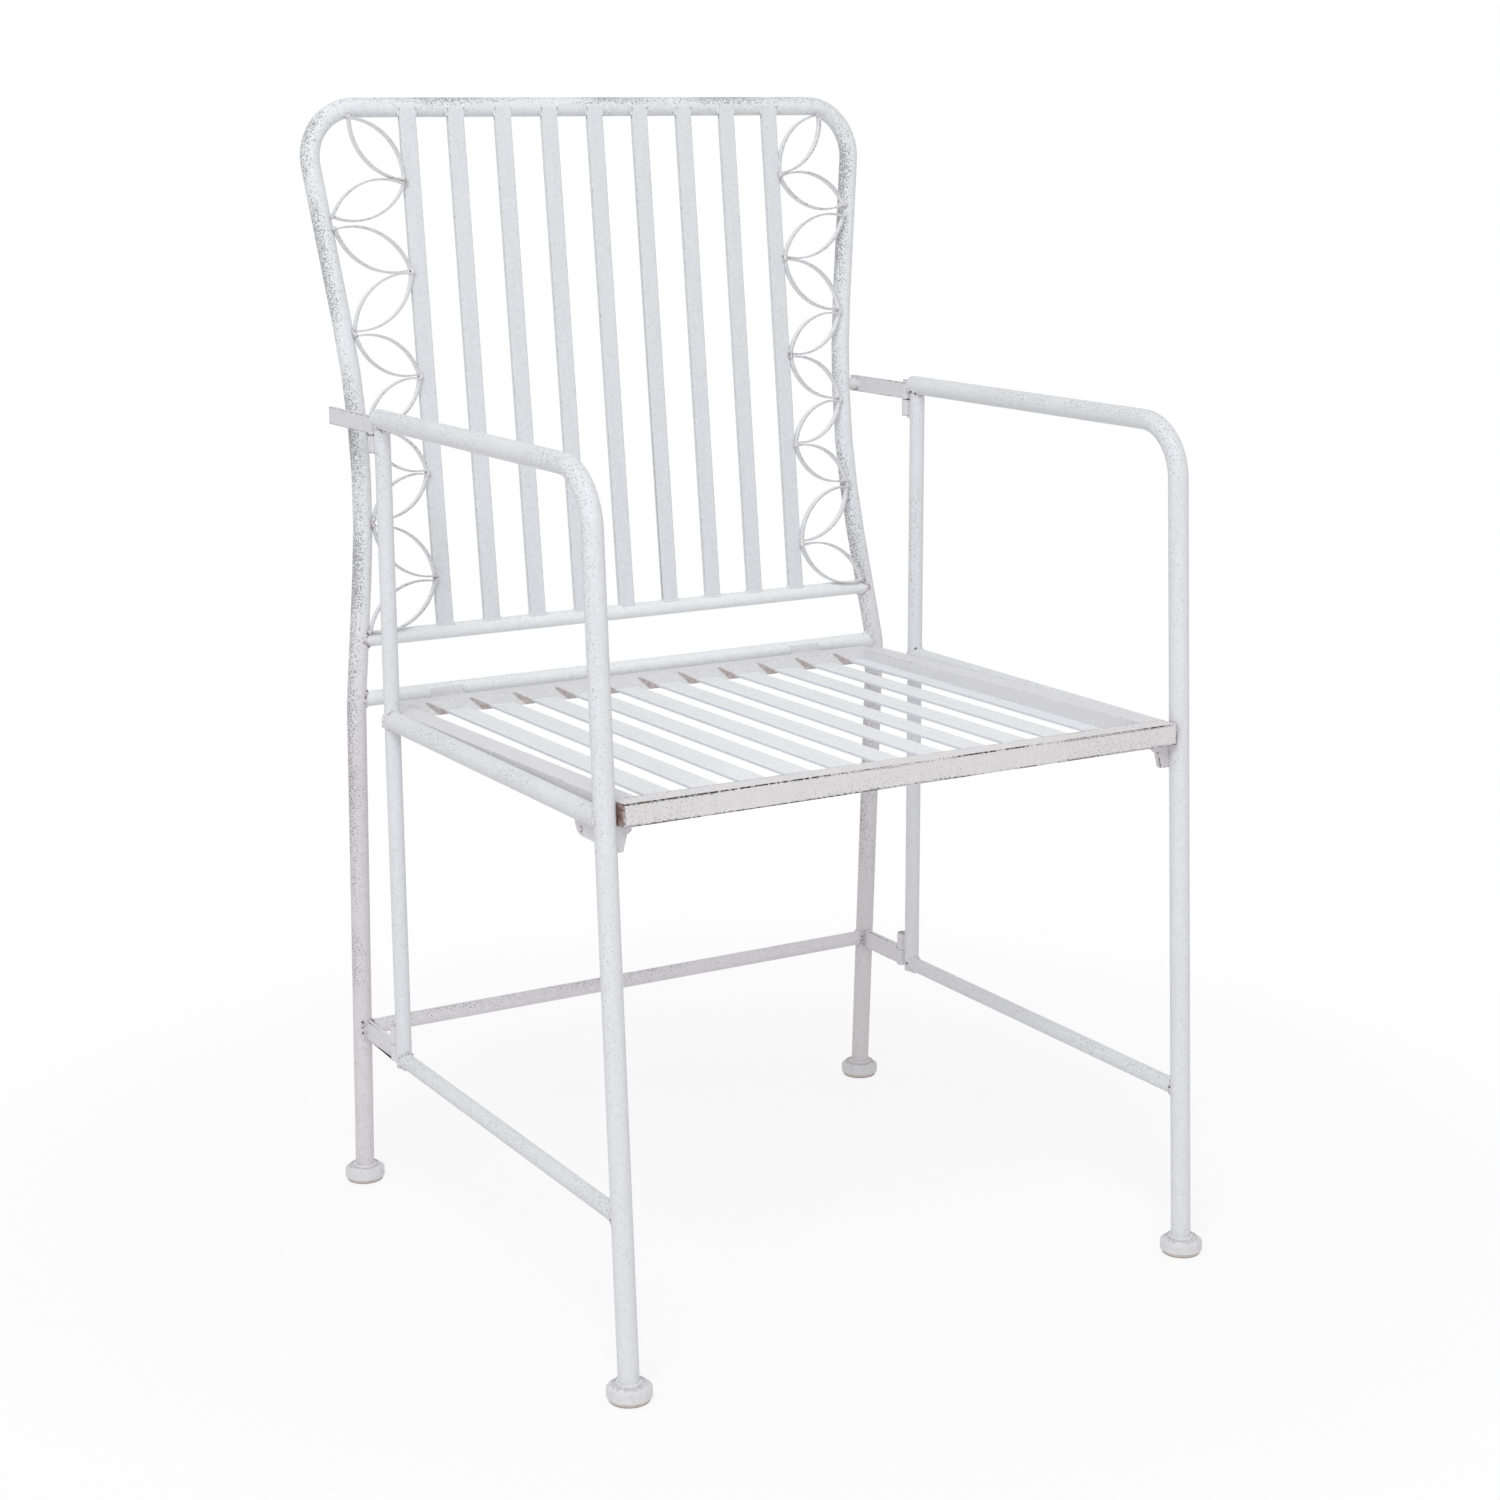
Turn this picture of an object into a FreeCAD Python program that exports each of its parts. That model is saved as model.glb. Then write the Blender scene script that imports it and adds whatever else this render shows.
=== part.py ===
import FreeCAD, Part
import Sketcher
import math
import os
import re

from FreeCAD import Placement, Rotation, Vector

# Folding garden armchair of painted steel tube and flat bar.
# Z is up and the floor is Z = 0. X = 0 is the mirror plane, and the chair faces -Y.
# The origin lies on the floor, under the middle of the chair's overall width and depth.
# Lengths are in millimetres and angles in degrees.

SIZES = {
    # Tube and bar stock
    "frame_tube": 16,
    "thin_tube": 13,
    "tube_wall": 1.5,
    "bar_thickness": 4,
    # Side frames, each in an upright plane, the feet further apart than the seat is deep
    "frame_spacing": 512,
    "front_reach": 258.9,
    "foot_margin": 48.3,
    "front_leg_lean": 3.15,
    "arm_height": 675,
    "arm_corner_radius": 45,
    "seat_rail_height": 430,
    "lower_rail_height": 138,
    "rail_end_gap": 2,
    # Hinges between the side frames and the back frame
    "frame_hinge_inset": 77.15,
    "post_setback": 15.5,
    "hinge_eye": 10,
    "hinge_pin": 5,
    "pin_clearance": 0.05,
    "hinge_end_gap": 0.3,
    "hinge_bar_height": 14,
    "hinge_bar_overrun": 9,
    "upper_hinge_drop": 13,
    "upper_barrel_length": 14.5,
    "gusset_slant": 7,
    "stub_diameter": 10,
    "pin_head": 8,
    "pin_head_height": 3,
    "pin_end_inset": 1.5,
    "lower_eye_height": 14.5,
    "lower_eye_base": 133,
    "lower_bar_rise": 2.5,
    "lower_bar_relief": 8,
    "lower_barrel_length": 16,
    # Back frame, one bent tube, narrowest at its waist a little below the arms
    "rear_leg_lean": 2.91,
    "leg_outset": 2.2,
    "knee_height": 432,
    "knee_radius": 70,
    "recline": 6.64,
    "waist_drop": 35,
    "waist_inset": 28,
    "waist_radius": 820,
    "back_height": 925,
    "top_outset": 7.3,
    "top_corner_radius": 42,
    "stretcher_height": 140.7,
    "back_rail_height": 484,
    # Flat bars of the back
    "slat_count": 9,
    "slat_width": 15,
    "slat_thickness": 3.5,
    "weld_flat": 0.3,
    "slat_top_drop": 1,
    # Bent leaves beside the flat bars
    "leaf_panel_width": 48.7,
    "leaf_strip": 1.5,
    "leaf_depth": 6,
    "leaf_standoff": 4,
    "leaf_fullness": 0.2075,
    "leaf_bite": 0.8,
    "leaf_panel_top": 8,
    "leaf_panel_bottom": 6,
    "first_leaf_inset": 38.5,
    # Seat, a rim of rectangular tube with slats let into it
    "seat_gap": 2,
    "seat_depth": 444,
    "seat_drop": 2.4,
    "seat_tilt": 1.33,
    "rim_width": 20,
    "rim_height": 17,
    "slot_count": 11,
    "rear_bar_height": 12,
    "rear_bar_inset": 9,
    "slot_width": 17.5,
    "seat_edge_strip": 16.25,
    "seat_slat_thickness": 2,
    "slat_front_lift": 1.15,
    "slat_rear_lift": 2,
    "slat_trim": 0.3,
    # Seat hinge
    "crossbar_height": 434.4,
    "seat_hinge_gap": 6,
    "hinge_clearance": 0.05,
    "strap_spacing": 356,
    "strap_width": 30,
    "strap_thickness": 1.75,
    "strap_start": 150,
    "strap_wrap": 250,
    "tongue_height": 5,
    # Seat rests on the front legs
    "rest_gap": 0.3,
    "rest_reach": 19,
    "rest_thickness": 5,
    "rest_height": 20,
    "rest_foot": 7.5,
    "rest_nose": 7,
    "rest_offset": 5,
    # Gusset behind the front leg, under the seat rail
    "lobe_radius": 10,
    "lobe_reach": 33,
    "lobe_rivet": 4,
    "lobe_rivet_height": 1,
    # Feet
    "pad_height": 3.4,
    "pad_diameter": 31,
    "foot_cap": 34,
    "foot_rim_height": 6.5,
    "foot_cap_height": 11.6,
    "foot_neck": 23,
    "foot_shoulder": 27,
    "foot_shoulder_height": 8.5,
    "cap_floor": 2,
}

# Places that follow from the sizes, each written as a formula
PLACES = {
    "side_x": "frame_spacing / 2",
    "foot_spacing": "seat_depth + foot_margin",
    "front_foot_y": "-front_reach",
    "rear_foot_y": "foot_spacing - front_reach",
    "tube_start": "pad_height + cap_floor",
    "tube_start_y": "front_foot_y + tube_start * tan(front_leg_lean)",
    "thin_radius": "thin_tube / 2",
    "frame_radius": "frame_tube / 2",
    # Side frames
    "hinge_y": "rear_foot_y - frame_hinge_inset",
    "post_y": "hinge_y - post_setback",
    "post_base": "lower_rail_height - thin_radius",
    "arm_end_y": "post_y + thin_radius",
    "seat_rail_front_y": "front_foot_y + seat_rail_height * tan(front_leg_lean)",
    "lower_rail_front_y": "front_foot_y + lower_rail_height * tan(front_leg_lean)",
    # Frame hinges
    "eye_radius": "hinge_eye / 2",
    "pin_radius": "hinge_pin / 2",
    "barrel_bore": "pin_radius + pin_clearance",
    "upper_bar_base": "arm_height - upper_hinge_drop",
    "upper_barrel_top": "upper_bar_base - hinge_end_gap",
    "upper_barrel_base": "upper_barrel_top - upper_barrel_length",
    "upper_bar_middle": "upper_bar_base + hinge_bar_height / 2",
    "lower_eye_top": "lower_eye_base + lower_eye_height",
    "lower_barrel_base": "lower_eye_top + hinge_end_gap",
    "lower_barrel_top": "lower_barrel_base + lower_barrel_length",
    # Back frame
    "leg_x": "side_x + leg_outset",
    "knee_y": "rear_foot_y - knee_height * tan(rear_leg_lean)",
    "waist_x": "leg_x - waist_inset",
    "corner_x": "leg_x + top_outset",
    "top_height": "back_height - frame_radius",
    "stretcher_y": "rear_foot_y - stretcher_height * tan(rear_leg_lean)",
    "slat_back": "frame_radius - weld_flat",
    "back_rail_lead": "frame_radius - thin_radius",
    "back_rail_rise": "(back_rail_height - knee_height) / cos(recline)",
    "waist_height": "arm_height - waist_drop",
    "back_rail_share": "(back_rail_height - knee_height) / (waist_height - knee_height)",
    "back_rail_half": "leg_x - waist_inset * back_rail_share",
    "top_rise": "(top_height - knee_height) / cos(recline)",
    "outer_slat_edge": "waist_x - leaf_panel_width",
    "slat_foot_rise": "back_rail_rise + thin_radius / 2",
    "slat_stretch": "top_rise - slat_top_drop - slat_foot_rise",
    "slat_lean": "recline - atan((slat_back - back_rail_lead) / slat_stretch) / 1 deg",
    "slat_length": "slat_stretch / cos(recline - slat_lean)",
    "slat_foot_y": "knee_y - back_rail_lead * cos(recline) + slat_foot_rise * sin(recline)",
    "slat_foot_z": "knee_height + back_rail_lead * sin(recline) + slat_foot_rise * cos(recline)",
    # Seat and its hinge
    "crossbar_y": "knee_y + (crossbar_height - knee_height) * tan(recline)",
    "seat_rear_y": "crossbar_y - thin_radius - seat_hinge_gap",
    "seat_rear_top": "crossbar_height - seat_drop",
    "seat_front_y": "seat_rear_y - seat_depth * cos(seat_tilt)",
    "seat_front_top": "seat_rear_top + seat_depth * sin(seat_tilt)",
    "seat_half": "side_x - frame_radius - seat_gap",
    "rim_inside": "seat_half - rim_width",
    "slat_run": "seat_depth - 2 * rim_width",
    "slat_front_drop": "rim_height - slat_front_lift - seat_slat_thickness",
    "slat_rear_drop": "rear_bar_height - slat_rear_lift - seat_slat_thickness",
    "slat_set": "atan((slat_front_drop - slat_rear_drop) / slat_run) / 1 deg",
    "slat_tilt": "seat_tilt - slat_set",
    "slat_end": "seat_depth - rim_width",
    "slat_end_y": "seat_front_y + slat_end * cos(seat_tilt) - slat_rear_drop * sin(seat_tilt)",
    "slat_end_z": "seat_front_top - slat_end * sin(seat_tilt) - slat_rear_drop * cos(seat_tilt)",
    "slot_field": "rim_inside - seat_edge_strip",
    "slot_pitch": "(2 * slot_field - slot_width) / (slot_count - 1)",
    "strap_inside": "thin_radius + hinge_clearance",
    "strap_outside": "strap_inside + strap_thickness",
    # Seat rests
    "rest_y": "front_foot_y + seat_rail_height * tan(front_leg_lean) + rest_offset",
    "rest_ceiling": "seat_rear_top + (seat_rear_y - rest_y - rest_thickness) * tan(seat_tilt)",
    "rest_top": "rest_ceiling - rim_height / cos(seat_tilt) - rest_gap",
}

SIDES = {"left": 1, "right": -1}

# Height of each leaf from the top down, and of the gap under each but the last, as in the photograph
LEAF_HEIGHTS = (52, 26, 35, 46.5, 34.5, 39.5, 36, 35, 47, 37.5)
LEAF_GAPS = (2, 9.5, 2, 3, 2, 2, 2, 4.5, 3)

doc = FreeCAD.newDocument("GardenArmchair")
sheet = doc.addObject("Spreadsheet::Sheet", "Sizes")
places = doc.addObject("App::VarSet", "Places")
nodes = []


def formula(text):
    """Write each named size or place in a formula with the object that holds it."""
    def full_name(match):
        word = match.group()
        if word in SIZES:
            return "Sizes." + word
        if word in PLACES:
            return "Places." + word
        return word
    return re.sub(r"[a-z_]+", full_name, text)


def worth(text):
    """The number that a formula gives now."""
    number = sheet.evalExpression(formula(text))
    return float(getattr(number, "Value", number))


def fill_sheet():
    for row, (name, size) in enumerate(SIZES.items(), start=1):
        sheet.set(f"A{row}", name.replace("_", " "))
        sheet.set(f"B{row}", str(size))
        sheet.setAlias(f"B{row}", name)
    doc.recompute()
    for name, text in PLACES.items():
        places.addProperty("App::PropertyFloat", name, "Places")
        places.setExpression(name, formula(text))
    doc.recompute()


def bind(piece, formulas):
    for path, text in formulas.items():
        piece.setExpression(path, formula(text))


def put(piece, x="0", y="0", z="0"):
    """Place a piece by formulas, keeping the way it is turned."""
    bind(piece, {"Placement.Base.x": x, "Placement.Base.y": y, "Placement.Base.z": z})


def put_leaning(piece, origin, angle, x="0", y="0", z="0"):
    """Place a piece in a system that leans back by an angle about an origin (y, z)."""
    origin_y, origin_z = origin
    piece.Placement = Placement(Vector(), Rotation(Vector(-1, 0, 0), 1))
    bind(piece, {"Placement.Rotation.Angle": angle})
    put(
        piece,
        x,
        f"{origin_y} + ({y}) * cos({angle}) + ({z}) * sin({angle})",
        f"{origin_z} - ({y}) * sin({angle}) + ({z}) * cos({angle})",
    )


def box(name, length, width, height):
    piece = doc.addObject("Part::Box", name)
    bind(piece, {"Length": length, "Width": width, "Height": height})
    return piece


TURNS = {
    "X": Rotation(Vector(0, 1, 0), 90),
    "Y": Rotation(Vector(1, 0, 0), -90),
    "Z": Rotation(),
}


def cylinder(name, radius, length, along="Z", x="0", y="0", z="0"):
    """A cylinder that runs from a point in the positive direction of an axis."""
    piece = doc.addObject("Part::Cylinder", name)
    bind(piece, {"Radius": radius, "Height": length})
    piece.Placement = Placement(Vector(), TURNS[along])
    put(piece, x, y, z)
    return piece


def cut(name, base, *tools):
    """Take each tool away from a base in turn."""
    for number, tool in enumerate(tools, start=1):
        last = number == len(tools)
        piece = doc.addObject("Part::Cut", name if last else f"{name}_trim_{number}")
        piece.Base = base
        piece.Tool = tool
        base = piece
    return base


def fuse(name, base, *additions):
    """Join each addition to a base in turn."""
    for number, addition in enumerate(additions, start=1):
        last = number == len(additions)
        piece = doc.addObject("Part::Fuse", name if last else f"{name}_join_{number}")
        piece.Base = base
        piece.Tool = addition
        base = piece
    return base


def compound(name, pieces):
    piece = doc.addObject("Part::Compound", name)
    piece.Links = pieces
    return piece


def keep(piece):
    """Mark a finished sub-part, whose label names its file."""
    nodes.append(piece)
    return piece


def straight_tube(name, diameter, length, along, x, y, z, trims):
    """A round tube along an axis, open at both ends and trimmed to what it meets."""
    outside = cylinder(name + "_outside", f"{diameter} / 2", length, along, x, y, z)
    bore = cylinder(name + "_bore", f"{diameter} / 2 - tube_wall", length, along, x, y, z)
    return keep(cut(name, outside, bore, *trims))


def origin_plane(body, role):
    return next(plane for plane in body.Origin.OriginFeatures if plane.Role == role)


def new_sketch(body, role, name):
    sketch = body.newObject("Sketcher::SketchObject", f"{body.Name}_{name}")
    sketch.AttachmentSupport = [(origin_plane(body, role), "")]
    sketch.MapMode = "FlatFace"
    return sketch


def add_size(sketch, constraint, text):
    """Add a constraint whose value follows a formula."""
    index = sketch.addConstraint(constraint)
    sketch.setExpression(f"Constraints[{index}]", formula(text))


def hold_point(sketch, geometry, point, x, y):
    """Hold a sketch point at formulas for its two coordinates."""
    for kind, text, axis in (("DistanceX", x, -2), ("DistanceY", y, -1)):
        distance = worth(text)
        if abs(distance) < 1e-9:
            sketch.addConstraint(Sketcher.Constraint("PointOnObject", geometry, point, axis))
        elif distance > 0:
            add_size(sketch, Sketcher.Constraint(kind, -1, 1, geometry, point, distance), text)
        else:
            back = Sketcher.Constraint(kind, geometry, point, -1, 1, -distance)
            add_size(sketch, back, f"-({text})")


def outline(body, role, corners):
    """A closed sketch of straight sides between corners given as formulas."""
    sketch = new_sketch(body, role, "outline")
    points = [Vector(worth(x), worth(y), 0) for x, y in corners]
    for start, end in zip(points, points[1:] + points[:1]):
        sketch.addGeometry(Part.LineSegment(start, end))
    for side in range(len(points)):
        following = (side + 1) % len(points)
        sketch.addConstraint(Sketcher.Constraint("Coincident", side, 2, following, 1))
    for side, (x, y) in enumerate(corners):
        hold_point(sketch, side, 1, x, y)
    return sketch


def plate(name, role, corners, thickness):
    """A flat plate, its thickness shared between both sides of its plane."""
    body = doc.addObject("PartDesign::Body", name)
    pad = body.newObject("PartDesign::Pad", name + "_pad")
    pad.Profile = outline(body, role, corners)
    pad.SideType = "Symmetric"
    bind(pad, {"Length": thickness})
    return body


def turned(name, corners):
    """A piece turned about its own upright axis from corners (radius, height)."""
    body = doc.addObject("PartDesign::Body", name)
    profile = outline(body, "XZ_Plane", corners)
    turn = body.newObject("PartDesign::Revolution", name + "_turn")
    turn.Profile = profile
    turn.ReferenceAxis = (profile, ["V_Axis"])
    turn.Angle = 360
    return body


def bend(before, corner, after, radius):
    """First, middle and last point and centre of the arc that rounds a corner."""
    inward = (before - corner).normalize()
    outward = (after - corner).normalize()
    half_angle = inward.getAngle(outward) / 2
    reach = radius / math.tan(half_angle)
    to_centre = (inward + outward).normalize()
    centre = corner + to_centre * (radius / math.sin(half_angle))
    return corner + inward * reach, centre - to_centre * radius, corner + outward * reach, centre


def rounded_path(corners, radii):
    """Straight runs through corners, each inner corner rounded by its own radius."""
    edges = []
    start = corners[0]
    for before, corner, after, radius in zip(corners, corners[1:], corners[2:], radii):
        first, middle, last, _ = bend(before, corner, after, radius)
        edges.append(Part.LineSegment(start, first).toShape())
        edges.append(Part.Arc(first, middle, last).toShape())
        start = last
    edges.append(Part.LineSegment(start, corners[-1]).toShape())
    return Part.Wire(edges)


def swept(path, radius):
    """The solid that a round section makes along a path."""
    start = path.Edges[0]
    section = Part.Circle(start.Vertexes[0].Point, start.tangentAt(start.FirstParameter), radius)
    return path.makePipeShell([Part.Wire(section.toShape())], True, False)


def own_shape(name, shape):
    piece = doc.addObject("Part::Feature", name)
    piece.Shape = shape
    return piece


def arm_and_leg(name, sign, bored):
    """The bent tube of a side frame: front leg, corner and armrest."""
    body = doc.addObject("PartDesign::Body", name)
    put(body, x=f"{sign} * side_x")

    foot = Vector(worth("tube_start_y"), worth("tube_start"), 0)
    corner_y = "front_foot_y + arm_height * tan(front_leg_lean)"
    corner = Vector(worth(corner_y), worth("arm_height"), 0)
    end = Vector(worth("arm_end_y"), worth("arm_height"), 0)
    first, middle, last, _ = bend(foot, corner, end, worth("arm_corner_radius"))

    path = new_sketch(body, "YZ_Plane", "path")
    leg = path.addGeometry(Part.LineSegment(foot, first))
    arc = path.addGeometry(Part.Arc(first, middle, last))
    arm = path.addGeometry(Part.LineSegment(last, end))
    path.addConstraint(Sketcher.Constraint("Tangent", leg, 2, arc, 2))
    path.addConstraint(Sketcher.Constraint("Tangent", arc, 1, arm, 1))
    path.addConstraint(Sketcher.Constraint("Horizontal", arm))
    hold_point(path, leg, 1, "tube_start_y", "tube_start")
    hold_point(path, arm, 2, "arm_end_y", "arm_height")
    radius = Sketcher.Constraint("Radius", arc, worth("arm_corner_radius"))
    add_size(path, radius, "arm_corner_radius")
    lean = Sketcher.Constraint("Angle", leg, math.radians(worth("90 - front_leg_lean")))
    add_size(path, lean, "(90 - front_leg_lean) * 1 deg")

    section = new_sketch(body, "XY_Plane", "section")
    section.AttachmentOffset = Placement(Vector(), Rotation(Vector(-1, 0, 0), 1))
    bind(section, {
        "AttachmentOffset.Base.y": "tube_start_y",
        "AttachmentOffset.Base.z": "tube_start",
        "AttachmentOffset.Rotation.Angle": "front_leg_lean",
    })
    walls = ["frame_radius", "frame_radius - tube_wall"] if bored else ["frame_radius"]
    for wall in walls:
        ring = section.addGeometry(Part.Circle(Vector(), Vector(0, 0, 1), worth(wall)))
        section.addConstraint(Sketcher.Constraint("Coincident", ring, 3, -1, 1))
        add_size(section, Sketcher.Constraint("Radius", ring, worth(wall)), wall)
    doc.recompute()

    pipe = body.newObject("PartDesign::AdditivePipe", name + "_pipe")
    pipe.Profile = section
    pipe.Spine = (path, ["Edge1", "Edge2", "Edge3"])
    if bored:
        close_arm_end(body)
    return body


def close_arm_end(body):
    """The disc that closes the rear end of an armrest."""
    disc = new_sketch(body, "XZ_Plane", "end")
    bind(disc, {"AttachmentOffset.Base.z": "-arm_end_y"})
    ring = disc.addGeometry(Part.Circle(Vector(0, worth("arm_height"), 0), Vector(0, 0, 1), 1))
    hold_point(disc, ring, 3, "0", "arm_height")
    add_size(disc, Sketcher.Constraint("Radius", ring, worth("frame_radius")), "frame_radius")
    pad = body.newObject("PartDesign::Pad", body.Name + "_end_disc")
    pad.Profile = disc
    bind(pad, {"Length": "tube_wall"})


def back_frame():
    """The bent tube of the rear legs and back, and the solid that it fills."""
    leg_x = worth("leg_x")
    knee = Vector(leg_x, worth("knee_y"), worth("knee_height"))
    foot_y = worth("rear_foot_y - tube_start * tan(rear_leg_lean)")
    foot = Vector(leg_x, foot_y, worth("tube_start"))
    waist_y = worth("knee_y + (waist_height - knee_height) * tan(recline)")
    waist = Vector(worth("waist_x"), waist_y, worth("waist_height"))
    top_y = worth("knee_y + (top_height - knee_height) * tan(recline)")
    corner = Vector(worth("corner_x"), top_y, worth("top_height"))
    half = [foot, knee, waist, corner]
    bends = [worth(name) for name in ("knee_radius", "waist_radius", "top_corner_radius")]

    mirrored = [Vector(-point.x, point.y, point.z) for point in reversed(half)]
    path = rounded_path(half + mirrored, bends + bends[::-1])
    core = own_shape("back_frame_core", swept(path, worth("frame_radius")))
    bore = own_shape("back_frame_bore", swept(path, worth("frame_radius - tube_wall")))
    keep(cut("back_frame_tube", core, bore))
    return path, core


def crossing(path, height):
    """The point where the left half of the back frame's centre line crosses a height."""
    level = Part.makePlane(2000, 2000, Vector(0, -1000, height))
    return path.distToShape(level)[1][0][0]


def cross_tubes(core):
    """The round rails between the legs of the back frame; returns the solid that the upper fills."""
    span = "2 * leg_x"
    straight_tube("seat_crossbar", "thin_tube", span, "X",
                  "-leg_x", "crossbar_y", "crossbar_height", [core])
    straight_tube("rear_stretcher", "thin_tube", span, "X",
                  "-leg_x", "stretcher_y", "stretcher_height", [core])
    rail_y = "knee_y - back_rail_lead * cos(recline) + back_rail_rise * sin(recline)"
    rail_z = "knee_height + back_rail_lead * sin(recline) + back_rail_rise * cos(recline)"
    straight_tube("back_lower_rail", "thin_tube", "2 * back_rail_half", "X",
                  "-back_rail_half", rail_y, rail_z, [core])
    return doc.getObject("back_lower_rail_outside")


SLAT_ORIGIN = ("slat_foot_y", "slat_foot_z")


def back_slats(core, rail):
    """The upright flat bars, each standing on the rail and seated on the front of the arch."""
    count = int(worth("slat_count"))
    slats = []
    for number in range(count):
        name = f"back_slat_{number + 1}"
        blank = box(name + "_bar", "slat_width", "slat_thickness", "slat_length")
        share = f"{number} / (slat_count - 1)"
        left_edge = f"-outer_slat_edge + (2 * outer_slat_edge - slat_width) * {share}"
        put_leaning(blank, SLAT_ORIGIN, "slat_lean", left_edge, "-slat_thickness", "0")
        slats.append(blank)
        keep(cut(name, blank, core, rail))
    return slats


def leaf(start, end, fullness, strip, depth):
    """A closed strip bent to two arcs that meet in a point at each end."""
    along = end - start
    across = Vector(-along.y, along.x, 0).normalize()
    middle = (start + end) / 2
    sagitta = along.Length * fullness
    radius = (along.Length ** 2 / 4 + sagitta ** 2) / (2 * sagitta)
    inner_sagitta = sagitta - strip
    inner_half = math.sqrt((radius - strip) ** 2 - (radius - sagitta) ** 2)
    direction = Vector(along).normalize()

    def lens(half_length, bulge):
        tips = middle - direction * half_length, middle + direction * half_length
        sides = [Part.Arc(tips[0], middle + across * side, tips[1]).toShape()
                 for side in (bulge, -bulge)]
        return Part.Face(Part.Wire(sides))

    ring = lens(along.Length / 2, sagitta).cut(lens(inner_half, inner_sagitta))
    return ring.extrude(Vector(0, 0, depth))


def leaf_tips(path):
    """Both tips of each leaf, in the plane of the back: X and the rise above the knee."""
    lean = math.radians(worth("recline"))
    knee_height = worth("knee_height")
    reach = math.sqrt(worth("frame_radius") ** 2 - worth("leaf_standoff") ** 2) - worth("leaf_bite")
    slat_x = worth("outer_slat_edge - leaf_bite")
    top = worth("top_rise - leaf_panel_top")
    bottom = worth("back_rail_rise + leaf_panel_bottom")
    scale = (top - bottom) / (sum(LEAF_HEIGHTS) + sum(LEAF_GAPS))

    def at_slat(rise):
        return Vector(slat_x, rise, 0)

    def at_frame(rise):
        return Vector(crossing(path, knee_height + rise * math.cos(lean)).x - reach, rise, 0)

    tips = []
    rise = top
    for number, height in enumerate(LEAF_HEIGHTS):
        upper, lower = (at_frame, at_slat) if number % 2 == 0 else (at_slat, at_frame)
        start = Vector(worth("corner_x - first_leaf_inset"), rise, 0) if number == 0 else upper(rise)
        rise -= height * scale
        tips.append((start, lower(rise)))
        if number < len(LEAF_GAPS):
            rise -= LEAF_GAPS[number] * scale
    return tips


def leaves(path, core, rail, slats):
    """The zigzag of leaves between the outermost flat bars and the tube."""
    lean = worth("recline")
    upright = Rotation(Vector(1, 0, 0), 90 - lean)
    forward = upright.multVec(Vector(0, 0, 1))
    knee = Vector(0, worth("knee_y"), worth("knee_height"))
    rear_face = Placement(knee + forward * worth("leaf_standoff"), upright)
    shapes = [leaf(start, end, worth("leaf_fullness"), worth("leaf_strip"), worth("leaf_depth"))
              for start, end in leaf_tips(path)]
    for side, sign in SIDES.items():
        panel = own_shape(f"leaves_{side}_blank", Part.makeCompound(
            [shape if sign > 0 else shape.mirror(Vector(), Vector(1, 0, 0)) for shape in shapes]))
        panel.Placement = rear_face
        outer_slat = slats[-1] if sign > 0 else slats[0]
        keep(cut(f"leaves_{side}", panel, core, rail, outer_slat))


def foot(name, x, y, trims):
    """A stepped cap over the end of a leg."""
    cap = turned(name + "_blank", [
        ("0", "0"),
        ("foot_cap / 2", "0"),
        ("foot_cap / 2", "foot_rim_height"),
        ("foot_shoulder / 2", "foot_shoulder_height"),
        ("foot_neck / 2", "foot_cap_height"),
        ("0", "foot_cap_height"),
    ])
    put(cap, x, y, "pad_height")
    return keep(cut(name, cap, *trims))


def side_frame(side, sign):
    """One side frame: its bent tube, post, rails, hinge barrels, seat rest and foot."""
    x = f"{sign} * side_x"
    keep(arm_and_leg(f"arm_and_leg_{side}", sign, bored=True))
    core = arm_and_leg(f"arm_core_{side}", sign, bored=False)

    post_length = "arm_height - post_base"
    post_core = cylinder(f"post_core_{side}", "thin_radius", post_length,
                         "Z", x, "post_y", "post_base")
    post_bore = cylinder(f"post_bore_{side}", "thin_radius - tube_wall", post_length,
                         "Z", x, "post_y", "post_base + tube_wall")
    keep(cut(f"rear_post_{side}", post_core, post_bore, core))

    rail_start = "seat_rail_front_y + rail_end_gap"
    straight_tube(f"seat_rail_{side}", "frame_tube", f"post_y - rail_end_gap - ({rail_start})", "Y",
                  x, rail_start, "seat_rail_height", [core, post_core])
    rail_core = doc.getObject(f"seat_rail_{side}_outside")
    straight_tube(f"lower_rail_{side}", "thin_tube",
                  "post_y - rail_end_gap - lower_rail_front_y", "Y",
                  x, "lower_rail_front_y", "lower_rail_height", [core, post_core])

    barrels(side, x, post_core)
    seat_rest(side, sign, [core, rail_core])
    rail_gusset(side, sign, [core, rail_core])
    foot(f"front_foot_{side}", x, "front_foot_y", [core])
    keep(cylinder(f"front_pad_{side}", "pad_diameter / 2", "pad_height", "Z", x, "front_foot_y"))


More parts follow.
